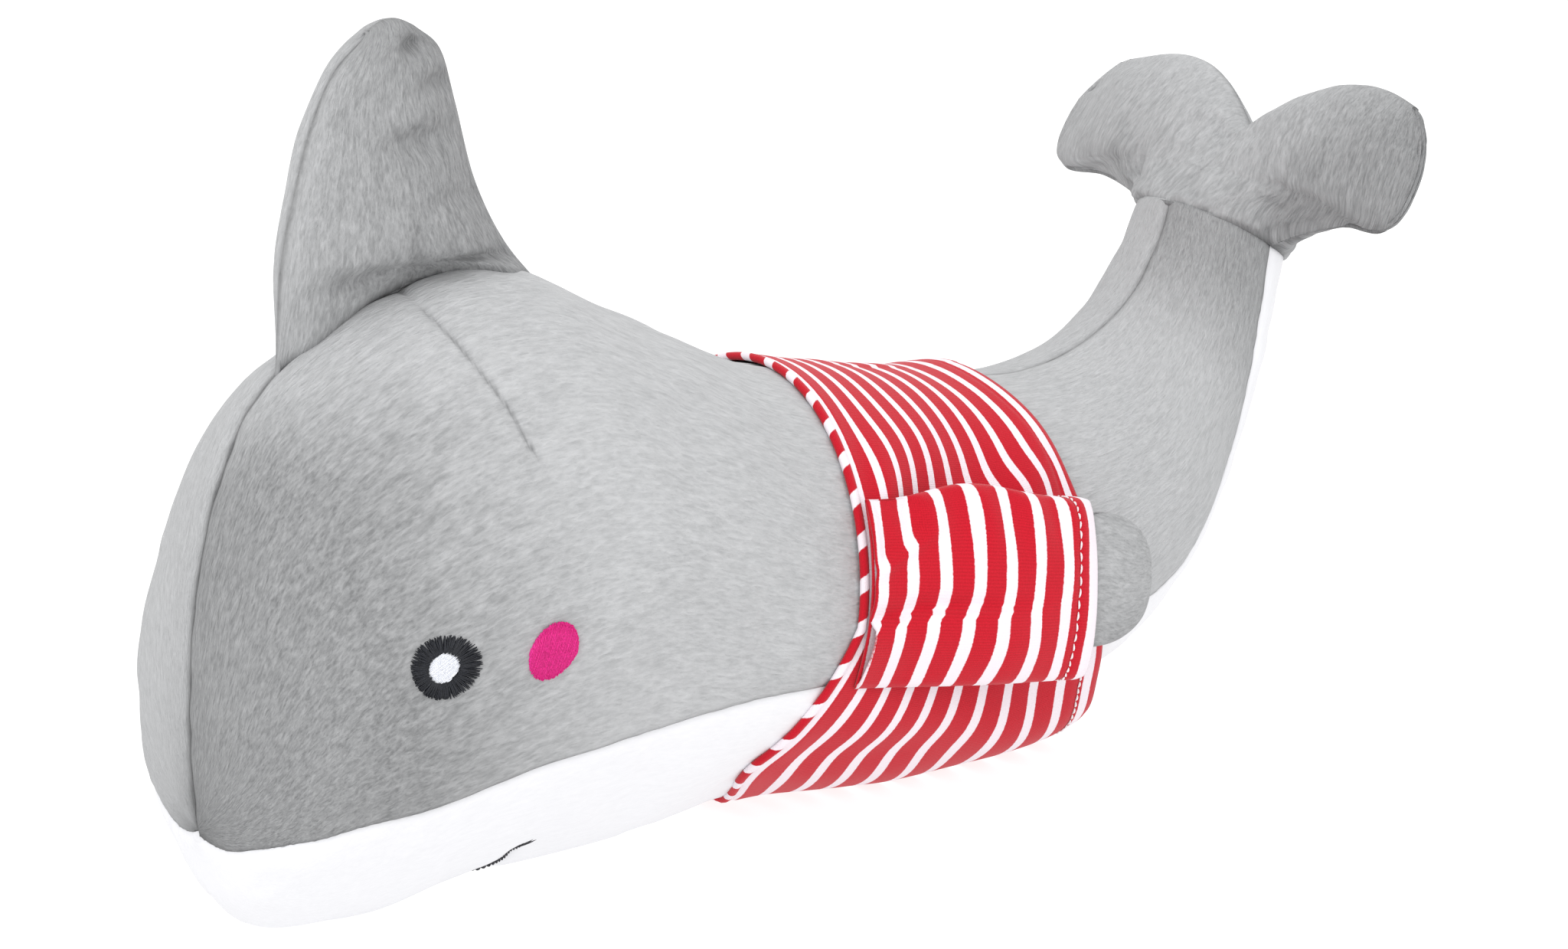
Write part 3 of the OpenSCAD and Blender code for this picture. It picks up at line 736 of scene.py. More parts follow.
@dataclass(frozen=True)
class ThreadFinish:
    """Embroidery or sewing thread, twisted, with a soft gloss."""

    name: str
    dark: tuple[float, float, float]
    light: tuple[float, float, float]
    roughness: float = 0.45

    def build(self) -> bpy.types.Material:
        """Builds the material."""
        material, kit, shader = start_material(self.name)
        twist = kit.add("TexNoise", Scale=2200.0, Detail=2.0)
        kit.link(kit.add("TexCoord").outputs["Object"], twist.inputs["Vector"])
        spread = kit.add("MapRange", From_Min=0.35, From_Max=0.65)
        kit.link(twist.outputs["Fac"], spread.inputs["Value"])
        kit.link(kit.colours(spread.outputs["Result"], self.dark, self.light), shader.inputs["Base Color"])
        relief = kit.add("Bump", Strength=0.4, Distance=0.0002)
        kit.link(twist.outputs["Fac"], relief.inputs["Height"])
        kit.link(relief.outputs[0], shader.inputs["Normal"])
        shader.inputs["Roughness"].default_value = self.roughness
        shader.inputs["Specular IOR Level"].default_value = 0.4
        return material


class Finishes:
    """Every material of the shark, built once."""

    def __init__(self) -> None:
        """Builds the shared groups and the materials."""
        pile, knit = pile_group(), knit_group()
        # The third and fourth numbers set painted shade: the darkest nap shade and how much the seams are
        # darkened.
        self.grey = PileFinish("grey_plush", (0.315, 0.32, 0.325), (0.585, 0.59, 0.60), 0.60, 0.55,
                               0.12).build(pile)
        self.white = PileFinish("white_plush", (0.76, 0.76, 0.785), (0.84, 0.84, 0.86), 0.93, 0.16, 0.1,
                                relief=0.00012).build(pile)
        striped = {"red": (0.60, 0.006, 0.022), "deep_red": (0.43, 0.003, 0.013), "white": (0.84, 0.76, 0.81)}
        self.shirt = JerseyFinish("striped_jersey", pitch=0.0127, white_band=0.0041, **striped).build(knit)
        self.sleeve = JerseyFinish("sleeve_jersey", pitch=0.0106, white_band=0.0039, **striped).build(knit)
        self.collar = JerseyFinish("collar_jersey", pitch=0.0110, white_band=0.0040, **striped).build(knit)
        self.black_thread = ThreadFinish("black_thread", (0.006, 0.007, 0.010), (0.020, 0.022, 0.030)).build()
        self.white_thread = ThreadFinish("white_thread", (0.70, 0.72, 0.78), (0.92, 0.93, 0.96)).build()
        self.pink_thread = ThreadFinish("pink_thread", (0.56, 0.008, 0.17), (0.82, 0.028, 0.30)).build()
        self.mouth_thread = ThreadFinish("mouth_thread", (0.02, 0.02, 0.025), (0.05, 0.05, 0.055),
                                         0.7).build()
        self.stitch = ThreadFinish("white_stitch", (0.72, 0.66, 0.68), (0.92, 0.88, 0.90), 0.6).build()


# ---- Body ---------------------------------------------------------------------------

TAIL_BEND = next(j for j in frame["joints"] if j["name"] == "tail_bend")
FLUKE_BEND = next(j for j in frame["joints"] if j["name"] == "fluke_bend")


def bend_with_tail(piece: bpy.types.Object) -> None:
    """Bakes a piece's placement into its mesh; the tail joint's place is read but the piece is not bent."""
    x, y, z = TAIL_BEND["pos_m"]
    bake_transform(piece)


def nearest_on_path(point: Vector, path: Sequence[Vector]) -> tuple[float, float]:
    """Measures how far a point is from a path.

    Args:
        point: the point.
        path: the path's corners.

    Returns:
        The distance, and the share of the path where it is nearest.
    """
    best, where = 1e9, 0.0
    for i in range(len(path) - 1):
        step = path[i + 1] - path[i]
        f = min(1.0, max(0.0, (point - path[i]).dot(step) / step.length_squared))
        gap = (point - path[i] - step * f).length
        if gap < best:
            best, where = gap, (i + f) / (len(path) - 1)
    return best, where


def close_places(rows: int) -> list[float]:
    """Spaces a panel's rows along the body.

    Args:
        rows: how many cells there are.

    Returns:
        The rows' places, closer together at the nose and at the dart.
    """
    steps = 2000
    weights = []
    for i in range(steps):
        t = BODY.last * (i + 0.5) / steps
        weights.append(1 + 1.6 * bump(t, 1.2) + 3.5 * bump(t - 6.28, 0.16))
    total, run, places, wanted = sum(weights), 0.0, [0.0], 1
    for i, weight in enumerate(weights):
        run += weight
        while wanted < rows and run >= total * wanted / rows:
            places.append(BODY.last * (i + 1) / steps)
            wanted += 1
    return places + [BODY.last]


@dataclass(frozen=True)
class PlushBody:
    """The three long panels of the stuffed body."""

    rows: int = 270
    side_columns: int = 84
    belly_columns: int = 44
    seam_depth: float = 1.5 * MM
    seam_width: float = 2.2 * MM
    tuck: float = 3.0 * MM
    fabric: float = 1.6 * MM
    dart: tuple[tuple[float, float], ...] = (
        (6.2, 88), (6.2, 72), (6.24, 61), (6.3, 50), (6.35, 42), (6.36, 36), (6.4, 31))
    mouth: tuple[tuple[float, float], ...] = (
        (6.10, -57.5), (6.05, -61), (6.03, -66), (5.98, -71),
        (5.85, -77), (5.72, -83), (5.66, -88), (5.65, -90))

    def place_t(self, u: float) -> float:
        """The place along the body for a share of the panel, closer spaced at the nose and dart."""
        return PLACES[min(len(PLACES) - 1, round(u * (len(PLACES) - 1)))]

    def relief(self, t: float, a: float, edges: Sequence[float],
               creases: Sequence[tuple[Sequence[Vector], float]], side: Side) -> tuple[float, float]:
        """Works out how far the fabric stands in or out.

        Args:
            t: the place along the body.
            a: the angle round it.
            edges: the angles of the panel's two seams there.
            creases: sewn lines inside the panel, each with its depth.
            side: the side of the body.

        Returns:
            The lift in metres, and how deep in a seam the point is, from 0 to 1.
        """
        point = body_point(t, a)
        seen = side.turn(point)
        lift = 0.9 * MM * softness(seen, 0.045) + 0.25 * MM * softness(seen, 0.014, 3.0)
        shade = 0.0
        for edge in edges:
            gap = (body_point(t, edge) - point).length
            near = bump(gap, self.seam_width)
            pucker = softness(Vector((t * 1.1, edge, side.value * 3)), 0.35)
            firm = mix(1.0, 0.6, ease((t - 5) / 3)) if edge == 90.0 else 0.45
            lift -= firm * (self.seam_depth * near + 0.7 * MM * pucker * bump(gap, 8 * MM))
            # This seam value darkens the pile's colour in its material: painted shade in each seam's groove.
            shade = max(shade, firm * bump(gap, 1.0 * MM))
        for path, depth in creases:
            gap, share = nearest_on_path(point, path)
            fade = ease((1 - share) * 7)
            lift -= depth * (0.65 * bump(gap, 1.2 * MM) + 0.35 * bump(gap, 4.5 * MM)) * fade
            lift -= 0.25 * MM * softness(Vector((share * 30, 0, 2)), 1.0) * bump(gap, 6 * MM)
            uneven = 0.75 + 0.5 * softness(Vector((share * 40, 3, 2)), 1.0)
            # Painted shade: a dark line along the crease, uneven along its length.
            shade = max(shade, bump(gap, 0.55 * MM) * fade * uneven)
        flat = ease((point.z - BODY.floor(t)) / (5 * MM))
        return lift * flat, shade

    def panel(self, name: str, columns: int, angles: Callable[[float], tuple[float, float]],
              creases: Sequence[tuple[Sequence[Vector], float]], side: Side,
              material: bpy.types.Material) -> bpy.types.Object:
        """Builds one long panel, its edges tucked into the seams.

        Args:
            name: the piece's name.
            columns: cells across the panel.
            angles: gives the panel's two edges at a place along the body.
            creases: sewn lines inside it, each with its depth.
            side: the side of the body.
            material: the fabric.

        Returns:
            The panel.
        """
        edge = 1 / columns

        def cut(u: float, v: float) -> Vector:
            """The panel's cut shape on the left, without its bulges."""
            t = max(0.05, BODY.last * u)
            return body_point(t, mix(*angles(t), v))

        def sewn(u: float, v: float) -> float:
            """Where the panel is held: at its seams, its creases and where it rests."""
            point = cut(u, v)
            near = any(nearest_on_path(point, path)[0] < 3 * MM for path, _ in creases)
            spots = [side.turn(body_point(*spot)) for spot in (Face.eye, Face.cheek)]
            near = near or any((point - spot).length < 15 * MM for spot in spots)
            resting = point.z < 6 * MM or 0.55 < u < 0.72
            return 1.0 if near or resting or STUFFING.at_edge(u, v) else 0.0

        puff = stuffed(name, cut, 110, 30, sewn, limit=1.3 * MM)

        def spot(u: float, v: float) -> tuple[float, float, float]:
            """The place, the angle and the tuck for a share of each direction."""
            t = self.place_t(u)
            low, high = angles(t)
            inner = min(1.0, max(0.0, (v - edge) / (1 - 2 * edge)))
            drawn = 0.5 * inner + 0.25 * (1 - math.cos(math.pi * inner))
            return t, mix(low, high, drawn), self.tuck if v < edge / 2 or v > 1 - edge / 2 else 0.0

        def place(u: float, v: float) -> Vector:
            """The point of the panel's outside."""
            t, a, tuck = spot(u, v)
            lift, _ = self.relief(t, a, angles(t), creases, side)
            low, high = angles(t)
            across = (a - low) / (high - low)
            lift += puff(t / BODY.last, across) * ease(t / 1.6) * ease(min(across, 1 - across) * 9)
            return body_offset(max(0.012, t), a, lift - tuck)

        def shade(u: float, v: float) -> float:
            """How deep in a seam the point lies."""
            t, a, _ = spot(u, v)
            return self.relief(t, a, angles(t), creases, side)[1]

        def nap(u: float, v: float) -> float:
            """Painted shade of the pile, set by which way it is stroked: dark over the left of the face,
            light on the flank, the whole right side and the belly.
            """
            t, a, _ = spot(u, v)
            if side is Side.RIGHT or a > 95:
                return 0.95
            turned = ease((t - 4.5 + max(0.0, a - 45) / 30) / 2.4)
            patch = 0.10 * softness(body_point(t, a), 0.05, 9.0)
            return turned * (1 - 0.75 * ease((t - 13.6) / 1.8)) + patch

        def pattern(u: float, v: float) -> tuple[float, float]:
            """The place on the cloth, with the pile running along the body."""
            t, a, _ = spot(u, v)
            return 0.028 * t, 0.00105 * a

        bm = shaped_grid(self.rows, columns, place, side, pattern, shade, nap)
        return thicken(finish_mesh(bm, name, material), self.fabric)

    def build(self, looks: Finishes) -> list[bpy.types.Object]:
        """Builds and dresses the three panels, and gives them."""
        dart = [body_point(t, a) for t, a in self.dart]
        mouth = [body_point(t, a) for t, a in self.mouth]
        other = [Side.RIGHT.turn(p) for p in mouth]
        pieces = []
        for side in Side:
            piece = self.panel(f"side_{side.word}", self.side_columns, lambda t: (seam_angle(t), 90.0),
                               [(dart, 1.6 * MM)], side, looks.grey)
            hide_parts(f"side_panel_{side.word}", f"tail_side_{side.word}")
            pieces.append(piece)
        belly = self.panel("belly", self.belly_columns, lambda t: (180 - seam_angle(t), 360 + seam_angle(t)),
                           [(mouth, 2.0 * MM), (other, 2.0 * MM)], Side.LEFT, looks.white)
        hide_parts("belly_panel", "tail_belly", "torso_stuffing", "tail_stuffing")
        pieces.append(belly)
        for piece in pieces:
            bend_with_tail(piece)
        return pieces


PLACES = close_places(PlushBody.rows)


# ---- Tail fluke ---------------------------------------------------------------------


@dataclass(frozen=True)
class TailFluke:
    """The two-lobed fluke, an upper and a lower panel sewn round their outline."""

    span: float = 0.170
    lobe_length: float = 0.062
    notch: float = 0.038
    thickness: float = 0.030
    droop: float = -0.005
    roll: float = 0.075
    rows: int = 96
    columns: int = 150
    fabric: float = 1.4 * MM
    outline: tuple[tuple[float, float], ...] = (
        (0.33, 0), (0.50, 0.12), (0.71, 0.19), (0.93, 0.18), (1.02, 0.32), (0.99, 0.62), (0.84, 0.90))

    def local(self, k: float, a: float) -> Vector:
        """Finds a point of the fluke before it is placed on the tail.

        Args:
            k: 0 at the tail seam and 1 at the far edge.
            a: the angle round it in degrees.

        Returns:
            The point: sideways, away from the tail, and up.
        """
        k = min(1.0, max(0.0, k))
        edge = along(self.outline, k * (len(self.outline) - 1))
        half = edge[0] * self.span / 2
        c, s = math.cos(math.radians(a)), math.sin(math.radians(a))
        f = abs(c)
        reach = mix(k * self.notch, edge[1] * self.lobe_length, f)
        reach += 0.21 * self.lobe_length * k * k * math.sin(math.pi * f)
        loft = mix(BODY.stem_depth, self.thickness, ease(k / 0.45)) / 2
        loft *= mix(1, 0.80 + 0.28 * math.sin(math.pi * min(1.0, f * 1.1)), ease(k / 0.4))
        close = 1.0 if k < 0.5 else math.sqrt(max(0.0, 1 - ((k - 0.5) / 0.5) ** 2.4))
        droop = self.droop * (half * c / (self.span / 2)) ** 2 * ease(k / 0.5)
        return Vector((half * c, reach, loft * close * s - droop + self.roll * half * c * ease(k / 0.5)))

    def relief(self, k: float, a: float) -> float:
        """How far the fabric stands out: gathers at the tail seam and soft dents in the lobes."""
        point = self.local(k, a)
        gather = 1.1 * MM * math.sin(math.radians(a) * 13 + 2 * math.sin(math.radians(a) * 5))
        lift = gather * bump(k, 0.20) * ease(k / 0.05)
        lift += 1.2 * MM * softness(point, 0.022, 5.0) + 0.4 * MM * softness(point, 0.009, 8.0)
        pull = abs(point.x) - 30 * MM - 0.25 * point.y
        lift -= 4.2 * MM * bump(pull, 4 * MM) * bump(point.y - 9 * MM, 13 * MM) * ease(k / 0.2)
        lift += 2.0 * MM * bump(point.x, 9 * MM) * bump(point.y - 14 * MM, 12 * MM)
        lift -= 1.0 * MM * bump(k, 0.03)
        return lift

    def build(self, looks: Finishes) -> list[bpy.types.Object]:
        """Builds and dresses the two panels, and gives them."""
        centre = Vector(FLUKE_BEND["pos_m"])
        back, belly = along(STATIONS, BODY.last)[:2], along(STATIONS, BODY.last)[2:4]
        up = Vector((0, back[0] - belly[0], back[1] - belly[1])).normalized()
        tailward = Vector((-1, 0, 0)).cross(up)
        pieces = []
        for name, first in (("fluke_upper", 0), ("fluke_lower", 180)):
            puff = stuffed(name, lambda u, v, first=first: self.local(u, first + 180 * v), 26, 60, edge_hold,
                           limit=2.6 * MM)

            def place(u: float, v: float, first: float = first, puff: Place = puff) -> Vector:
                """The point of this panel's outside, on the tail."""
                a, k = first + 180 * closer(v), 1 - (1 - u) ** 1.25
                p = self.local(k, a)
                rim = ease(min(v, 1 - v) * 30) * ease((1 - k) * 30)
                calm = ease(k / 0.15) * ease((1 - k) / 0.15) * ease(min(v, 1 - v) * 8)
                lift = self.relief(k, a) * rim + puff(k, (a - first) / 180) * calm
                edge = max(bump(min(v, 1 - v), 0.018), bump(1 - k, 0.025)) * ease(k / 0.3)
                p = Vector((p.x * (1 - 0.020 * edge), p.y - 1.2 * MM * edge, p.z))
                if 0.004 < k < 0.996:
                    p = p + outward(self.local, k, a, 0.004, 1.0) * lift
                q = centre + Vector((p.x, 0, 0)) + tailward * (p.y - 0.5 * MM) + up * p.z
                return q

            def shade(u: float, v: float) -> float:
                """How deep in a seam the point lies."""
                rim = max(bump(1 - u, 0.012), bump(min(v, 1 - v), 0.008))
                return max(0.7 * bump(u, 0.012), 0.6 * rim)

            def nap(u: float, v: float, first: float = first) -> float:
                """Painted shade of the pile: darker towards the left lobe's lower edge and in its crease,
                lighter away from the tail.
                """
                p = self.local(u, first + 180 * v)
                pull = abs(p.x) - 30 * MM - 0.25 * p.y
                # Painted shade in the crease where the lobe is pulled in.
                dark = 0.4 * bump(pull, 5 * MM) * bump(p.y - 9 * MM, 13 * MM)
                patch = 0.10 * softness(p, 0.03, 3.0)
                return 0.55 - 13 * max(0.0, p.x - 0.008) + 9 * (p.y - 0.02) - dark + patch

            def pattern(u: float, v: float, first: float = first) -> tuple[float, float]:
                """The place on the cloth, with the pile running away from the tail."""
                p = self.local(u, first + 180 * v)
                return p.y, p.x

            bm = shaped_grid(self.rows, self.columns, place, pattern=pattern, shade=shade, nap=nap)
            piece = thicken(finish_mesh(bm, name, looks.grey), self.fabric)
            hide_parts(f"{name}_panel", *(["fluke_stuffing"] if first else []))
            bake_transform(piece)
            pieces.append(piece)
        return pieces


# ---- Dorsal fin ---------------------------------------------------------------------


def back_place(y: float) -> float:
    """The place along the body where the back line reaches a given y."""
    low, high = 3.0, 11.0
    for _ in range(24):
        middle = (low + high) / 2
        low, high = (middle, high) if along(STATIONS, middle)[0] < y else (low, middle)
    return (low + high) / 2


@dataclass(frozen=True)
class DorsalFin:
    """The tall fin on the crown, a left and a right panel."""

    height: float = 0.096
    length: float = 0.095
    thickness: float = 0.030
    rows: int = 100
    columns: int = 74
    fabric: float = 1.4 * MM
    sink: float = 1.2 * MM
    dents: tuple[tuple[float, float, float, float, float], ...] = (
        (0.84, 0.68, 0.05, 0.14, 4.2), (0.69, 0.84, 0.030, 0.16, 2.6), (0.53, 0.62, 0.040, 0.24, 4.0),
        (0.36, 0.80, 0.03, 0.20, 1.6), (0.14, 0.30, 0.045, 0.13, 4.4), (0.13, 0.76, 0.045, 0.18, 5.0),
        (0.17, 0.52, 0.10, 0.04, 2.0))
    foot: tuple[tuple[float], ...] = ((0,), (5.2,), (4.2,), (3.0,), (2.6,), (3.4,), (6.5,), (8.0,), (0,))
    front: tuple[tuple[float, float], ...] = (
        (0, 0), (0.045, 0.33), (0.105, 0.55), (0.165, 0.72), (0.25, 0.87), (0.38, 0.975))
    rear: tuple[tuple[float, float], ...] = (
        (1, 0.14), (0.86, 0.30), (0.76, 0.50), (0.70, 0.73), (0.65, 0.90), (0.56, 0.98))

    @property
    def start_y(self) -> float:
        """Where the fin's front meets the head."""
        return BODY.nose_y + 0.165 * BODY.head_length

    def base(self, u: float) -> Vector:
        """The left half of the fin's seam on the head, from its front to its rear."""
        t = back_place(self.start_y + u * self.length)
        width = along(self.foot, u * (len(self.foot) - 1))[0] * MM if 0 < u < 1 else 0.0
        row = along(STATIONS, t)
        lean = math.degrees(math.asin(min(1.0, width / (row[4] * (1 - row[5])))))
        return body_offset(t, 90 - lean, -self.sink)

    def local(self, k: float, u: float) -> Vector:
        """Finds a point of the left panel.

        Args:
            k: 0 at the head and 1 at the top.
            u: 0 at the front edge and 1 at the rear edge.

        Returns:
            The point, in metres.
        """
        k = min(1.0, max(0.0, k))
        u = min(1.0, max(0.0, u))
        n = len(self.front) - 1
        front, rear = along(self.front, k * n), along(self.rear, k * n)
        start_z = along(STATIONS, back_place(self.start_y))[1]
        y = self.start_y + mix(front[0], rear[0], u) * self.length
        z = start_z + mix(front[1], rear[1], u) * self.height
        z += 3.2 * MM * math.sin(math.pi * u) * ease((k - 0.55) / 0.45)
        swell = mix(1, 0.62, ease((k - 0.25) / 0.65))
        close = 1.0 if k < 0.72 else math.sqrt(max(0.0, 1 - ((k - 0.72) / 0.28) ** 2))
        bulge = math.sin(math.pi * u ** 0.85) ** 0.6 if 0 < u < 1 else 0.0
        body = Vector((self.thickness / 2 * swell * close * bulge, y, z))
        foot = self.base(u)
        share = ease(k / 0.22)
        straight = Vector((0, self.start_y + u * self.length, start_z + mix(0, 0.14, u) * self.height))
        return Vector((mix(foot.x, body.x, share), body.y + (foot.y - straight.y) * (1 - share),
                       body.z + (foot.z - straight.z) * (1 - share)))

    def build(self, looks: Finishes) -> list[bpy.types.Object]:
        """Builds and dresses the two panels, and gives them."""
        pieces = []
        for side in Side:
            puff = stuffed(f"dorsal_{side.word}", lambda v, u: self.local(v, 1 - u), 30, 24, edge_hold,
                           limit=2.6 * MM)

            def place(v: float, u: float, side: Side = side, puff: Place = puff) -> Vector:
                """The point of this panel's outside."""
                across = 1 - closer(u)
                p = self.local(v, across)
                rim = ease(min(across, 1 - across) * 12) * ease((1 - v) * 25)
                seen = side.turn(p)
                lift = 1.5 * MM * softness(seen, 0.024, 2.0) + 0.4 * MM * softness(seen, 0.010, 6.0)
                for up, back, tall, long, depth in self.dents:
                    lift -= depth * MM * bump(v - up, tall) * bump(across - back, long)
                lift -= 1.2 * MM * bump(v, 0.03)
                edge = bump(across, 0.02)
                lift += puff(v, 1 - across) * (0.7 if side is Side.LEFT else 1.0)
                return p + Vector((lift * rim, 1.8 * MM * edge, 0))

            def shade(v: float, u: float) -> float:
                """How deep in a seam the point lies."""
                return max(0.8 * bump(v, 0.015), 0.7 * bump(1 - u, 0.012), 0.4 * bump(u, 0.01))

            def nap(v: float, u: float, side: Side = side) -> float:
                """Painted shade of the pile: darkest along the rear edge and in the dents, light over the
                whole right side.
                """
                if side is Side.RIGHT:
                    return 0.9
                # Painted shade in the dents.
                dark = sum(depth * bump(v - up, 1.3 * tall) * bump(1 - closer(u) - back, long)
                           for up, back, tall, long, depth in self.dents)
                return 0.32 + 0.40 * bump(1 - u, 0.14) - 0.45 * ease((0.75 - u) / 0.75) - 0.12 * dark

            bm = shaped_grid(self.rows, self.columns, place, side,
                             lambda v, u: (v * self.height, u * 0.075), shade, nap)
            piece = thicken(finish_mesh(bm, f"dorsal_{side.word}", looks.grey), self.fabric)
            nodes = [f"dorsal_panel_{side.word}"] + (["dorsal_stuffing"] if side is Side.LEFT else [])
            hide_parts(*nodes)
            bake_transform(piece)
            pieces.append(piece)
        return pieces


# ---- Pectoral fins and sleeves ------------------------------------------------------


@dataclass(frozen=True)
class PectoralFin:
    """One flat side fin inside its sleeve."""

    side: Side
    length: float = 0.1055
    root: float = 0.022
    width: float = 0.043
    thickness: float = 0.014
    sleeve_length: float = 0.0745
    sleeve_width: float = 0.058
    sleeve_end: float = 0.019
    seam: float = -5.0 * MM
    cloth: float = 0.9 * MM
    flare: float = math.radians(2)
    droop: float = -0.18
    curve: float = 0.130

    def axes(self) -> tuple[Vector, Vector, Vector, Vector]:
        """The hinge point of the left fin, with its outward, rearward and upward directions."""
        joint = next(j for j in frame["joints"] if j["name"] == "left_fin_swing")
        up = -Vector(joint["axis"]).normalized()
        rear = Vector((math.sin(self.flare), math.cos(self.flare), self.droop)).normalized()
        return Vector(joint["pos_m"]), rear.cross(up).normalized(), rear, up

    def spot(self, out: float, rear: float, up: float) -> Vector:
        """A point beside the hinge, curved round the body near the hinge line."""
        hinge, outward_way, rearward, upward = self.axes()
        hug = up * up / self.curve * (1 - ease(rear / self.sleeve_length))
        return hinge + rearward * rear + upward * up + outward_way * (out - hug)

    def middle(self, rear: float) -> float:
        """How far out the sleeve's middle sheet lies, close to the body at its root."""
        return mix(-4.6 * MM, 0.5 * MM, ease((rear + 5 * MM) / 0.050))

    def half(self, rear: float) -> float:
        """Half the sleeve's thickness."""
        return mix(1.3 * MM, self.sleeve_end / 2, ease((rear + 2 * MM) / 0.062))

    def fin_point(self, k: float, a: float) -> Vector:
        """A point of the fin before it is placed: out, rear and up."""
        close = 1.0 if k < 0.70 else math.sqrt(max(0.0, 1 - ((k - 0.70) / 0.30) ** 2.3))
        rear = mix(self.root, self.length, k)
        c, s = math.cos(math.radians(a)), math.sin(math.radians(a))
        thick = min(self.thickness / 2, self.half(rear) - 1.6 * MM)
        thick = max(0.4 * MM, thick) if rear < self.sleeve_length else self.thickness / 2
        rise = 4.5 * MM * ease((rear - 0.055) / 0.030)
        return Vector((self.middle(rear) + thick * close * abs(c) ** 0.8 * math.copysign(1, c), rear,
                       rise + self.width / 2 * mix(0.88, 1, ease(k / 0.5)) * close * s))

    def build_fin(self, looks: Finishes) -> list[bpy.types.Object]:
        """Builds the outer and the inner panel of the fin."""
        pieces = []
        for name, first in (("outer", -90.0), ("inner", 90.0)):

            def place(u: float, v: float, first: float = first) -> Vector:
                """The point of this panel's outside."""
                k = 1 - (1 - u) ** 1.3
                p = self.fin_point(k, first + 180 * v)
                shown = ease((p.y - self.sleeve_length) / (4 * MM))
                rim = ease(min(v, 1 - v) * 8) * ease((1 - k) * 14) * shown
                lift = 0.9 * MM * softness(p, 0.016, 4.0) * rim
                p.x += lift * (1 if first < 0 else -1)
                pull = max(bump(min(v, 1 - v), 0.03), bump(1 - k, 0.02)) * ease((k - 0.5) * 5)
                p.y -= 1.0 * MM * pull
                p.z *= 1 - 0.03 * pull
                return self.spot(p.x, p.y, p.z)

            def shade(u: float, v: float) -> float:
                """How deep in the outline seam the point lies."""
                return 0.7 * max(bump(min(v, 1 - v), 0.02), bump(1 - u, 0.01))

            def pattern(u: float, v: float, first: float = first) -> tuple[float, float]:
                """The place on the cloth, with the pile running to the tip."""
                p = self.fin_point(u, first + 180 * v)
                return p.y, p.z

            # Painted shade of the fin's pile: darker towards its edges, most at the edge where the panel
            # starts.
            bm = shaped_grid(96, 40, place, self.side, pattern, shade,
                             lambda u, v: 0.36 + 0.35 * math.sin(math.pi * v) - 0.3 * (1 - v))
            piece = thicken(finish_mesh(bm, f"fin_{name}_panel_{self.side.word}", looks.grey), 0.5 * MM)
            nodes = [f"fin_{name}_{self.side.word}"]
            nodes += [f"fin_stuffing_{self.side.word}"] if name == "outer" else []
            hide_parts(*nodes)
            pieces.append(piece)
        return pieces

    def sleeve_point(self, rear: float, a: float, lift: float) -> Vector:
        """Finds a point of the sleeve.

        Args:
            rear: the distance behind the armhole seam.
            a: the angle round the sleeve in degrees, 0 facing out and 90 up.
            lift: how far the point stands off the cloth.

        Returns:
            The point on the left side.
        """
        c, s = math.cos(math.radians(a)), math.sin(math.radians(a))
        half = self.half(rear) + lift
        flat = abs(c) ** 0.6 * math.copysign(1, c)
        wide = self.sleeve_width / 2 * mix(1.0, 0.93, ease(rear / self.sleeve_length)) + lift
        up = wide * s
        out = self.middle(rear) + half * flat
        if c > 0:
            out += self.folds(rear, up) * min(1.0, c * 3)
        top = 3.6 * MM * ease(rear / 0.03) + 2.6 * MM * bump(rear - 0.036, 0.016) if s > 0 else 0.0
        return self.spot(out, rear, up + top * s * s)

    def crease_line(self, rear: float) -> float:
        """The height of the long crease across the outer face."""
        return -6.5 * MM + 0.13 * rear + 1.0 * MM * math.sin(rear * 110)

    def flap_line(self, up: float) -> float:
        """How far back the small fold at the top of the armhole reaches."""
        return mix(-7 * MM, 11.5 * MM, ease((up - 6 * MM) / (15 * MM)))

    def folds(self, rear: float, up: float) -> float:
        """How far the outer face of the sleeve stands out at its folds."""
        line = self.crease_line(rear)
        fade = 1 - ease((rear - 0.026) / 0.034)
        lift = 2.6 * MM * ease((line - up) / (1.6 * MM)) * bump(min(0.0, up - line + 6 * MM), 15 * MM) * fade
        lift -= 1.3 * MM * bump(up - line - 1 * MM, 3.5 * MM) * fade
        behind = rear - self.flap_line(up)
        lift += 1.0 * MM * (ease(behind / (3.0 * MM)) - 1) * ease((rear + 4 * MM) / (4 * MM))
        lift += 1.2 * MM * bump(behind - 4 * MM, 4 * MM) * ease((up - 4 * MM) / (6 * MM))
        soft = softness(Vector((rear, up, 0.0)), 0.017, self.side.value * 2.0)
        lift += 1.2 * MM * soft * ease(rear / 0.012)
        lift += 0.8 * MM * math.sin(rear * 380 + up * 60) * bump(up - 0.022, 0.008) * ease(rear / 0.01)
        return lift

    def build_sleeve(self, looks: Finishes) -> list[bpy.types.Object]:
        """Builds the sleeve and its hem stitches."""

        def place(u: float, v: float) -> Vector:
            """The point of the sleeve's outside."""
            rear = mix(self.seam, self.sleeve_length, u)
            hem = 0.5 * MM * bump(rear - self.sleeve_length, 1.5 * MM)
            groove = 0.45 * MM * bump(rear - (self.sleeve_length - 8 * MM), 1.2 * MM)
            return self.sleeve_point(rear, 360 * v, -hem - groove)

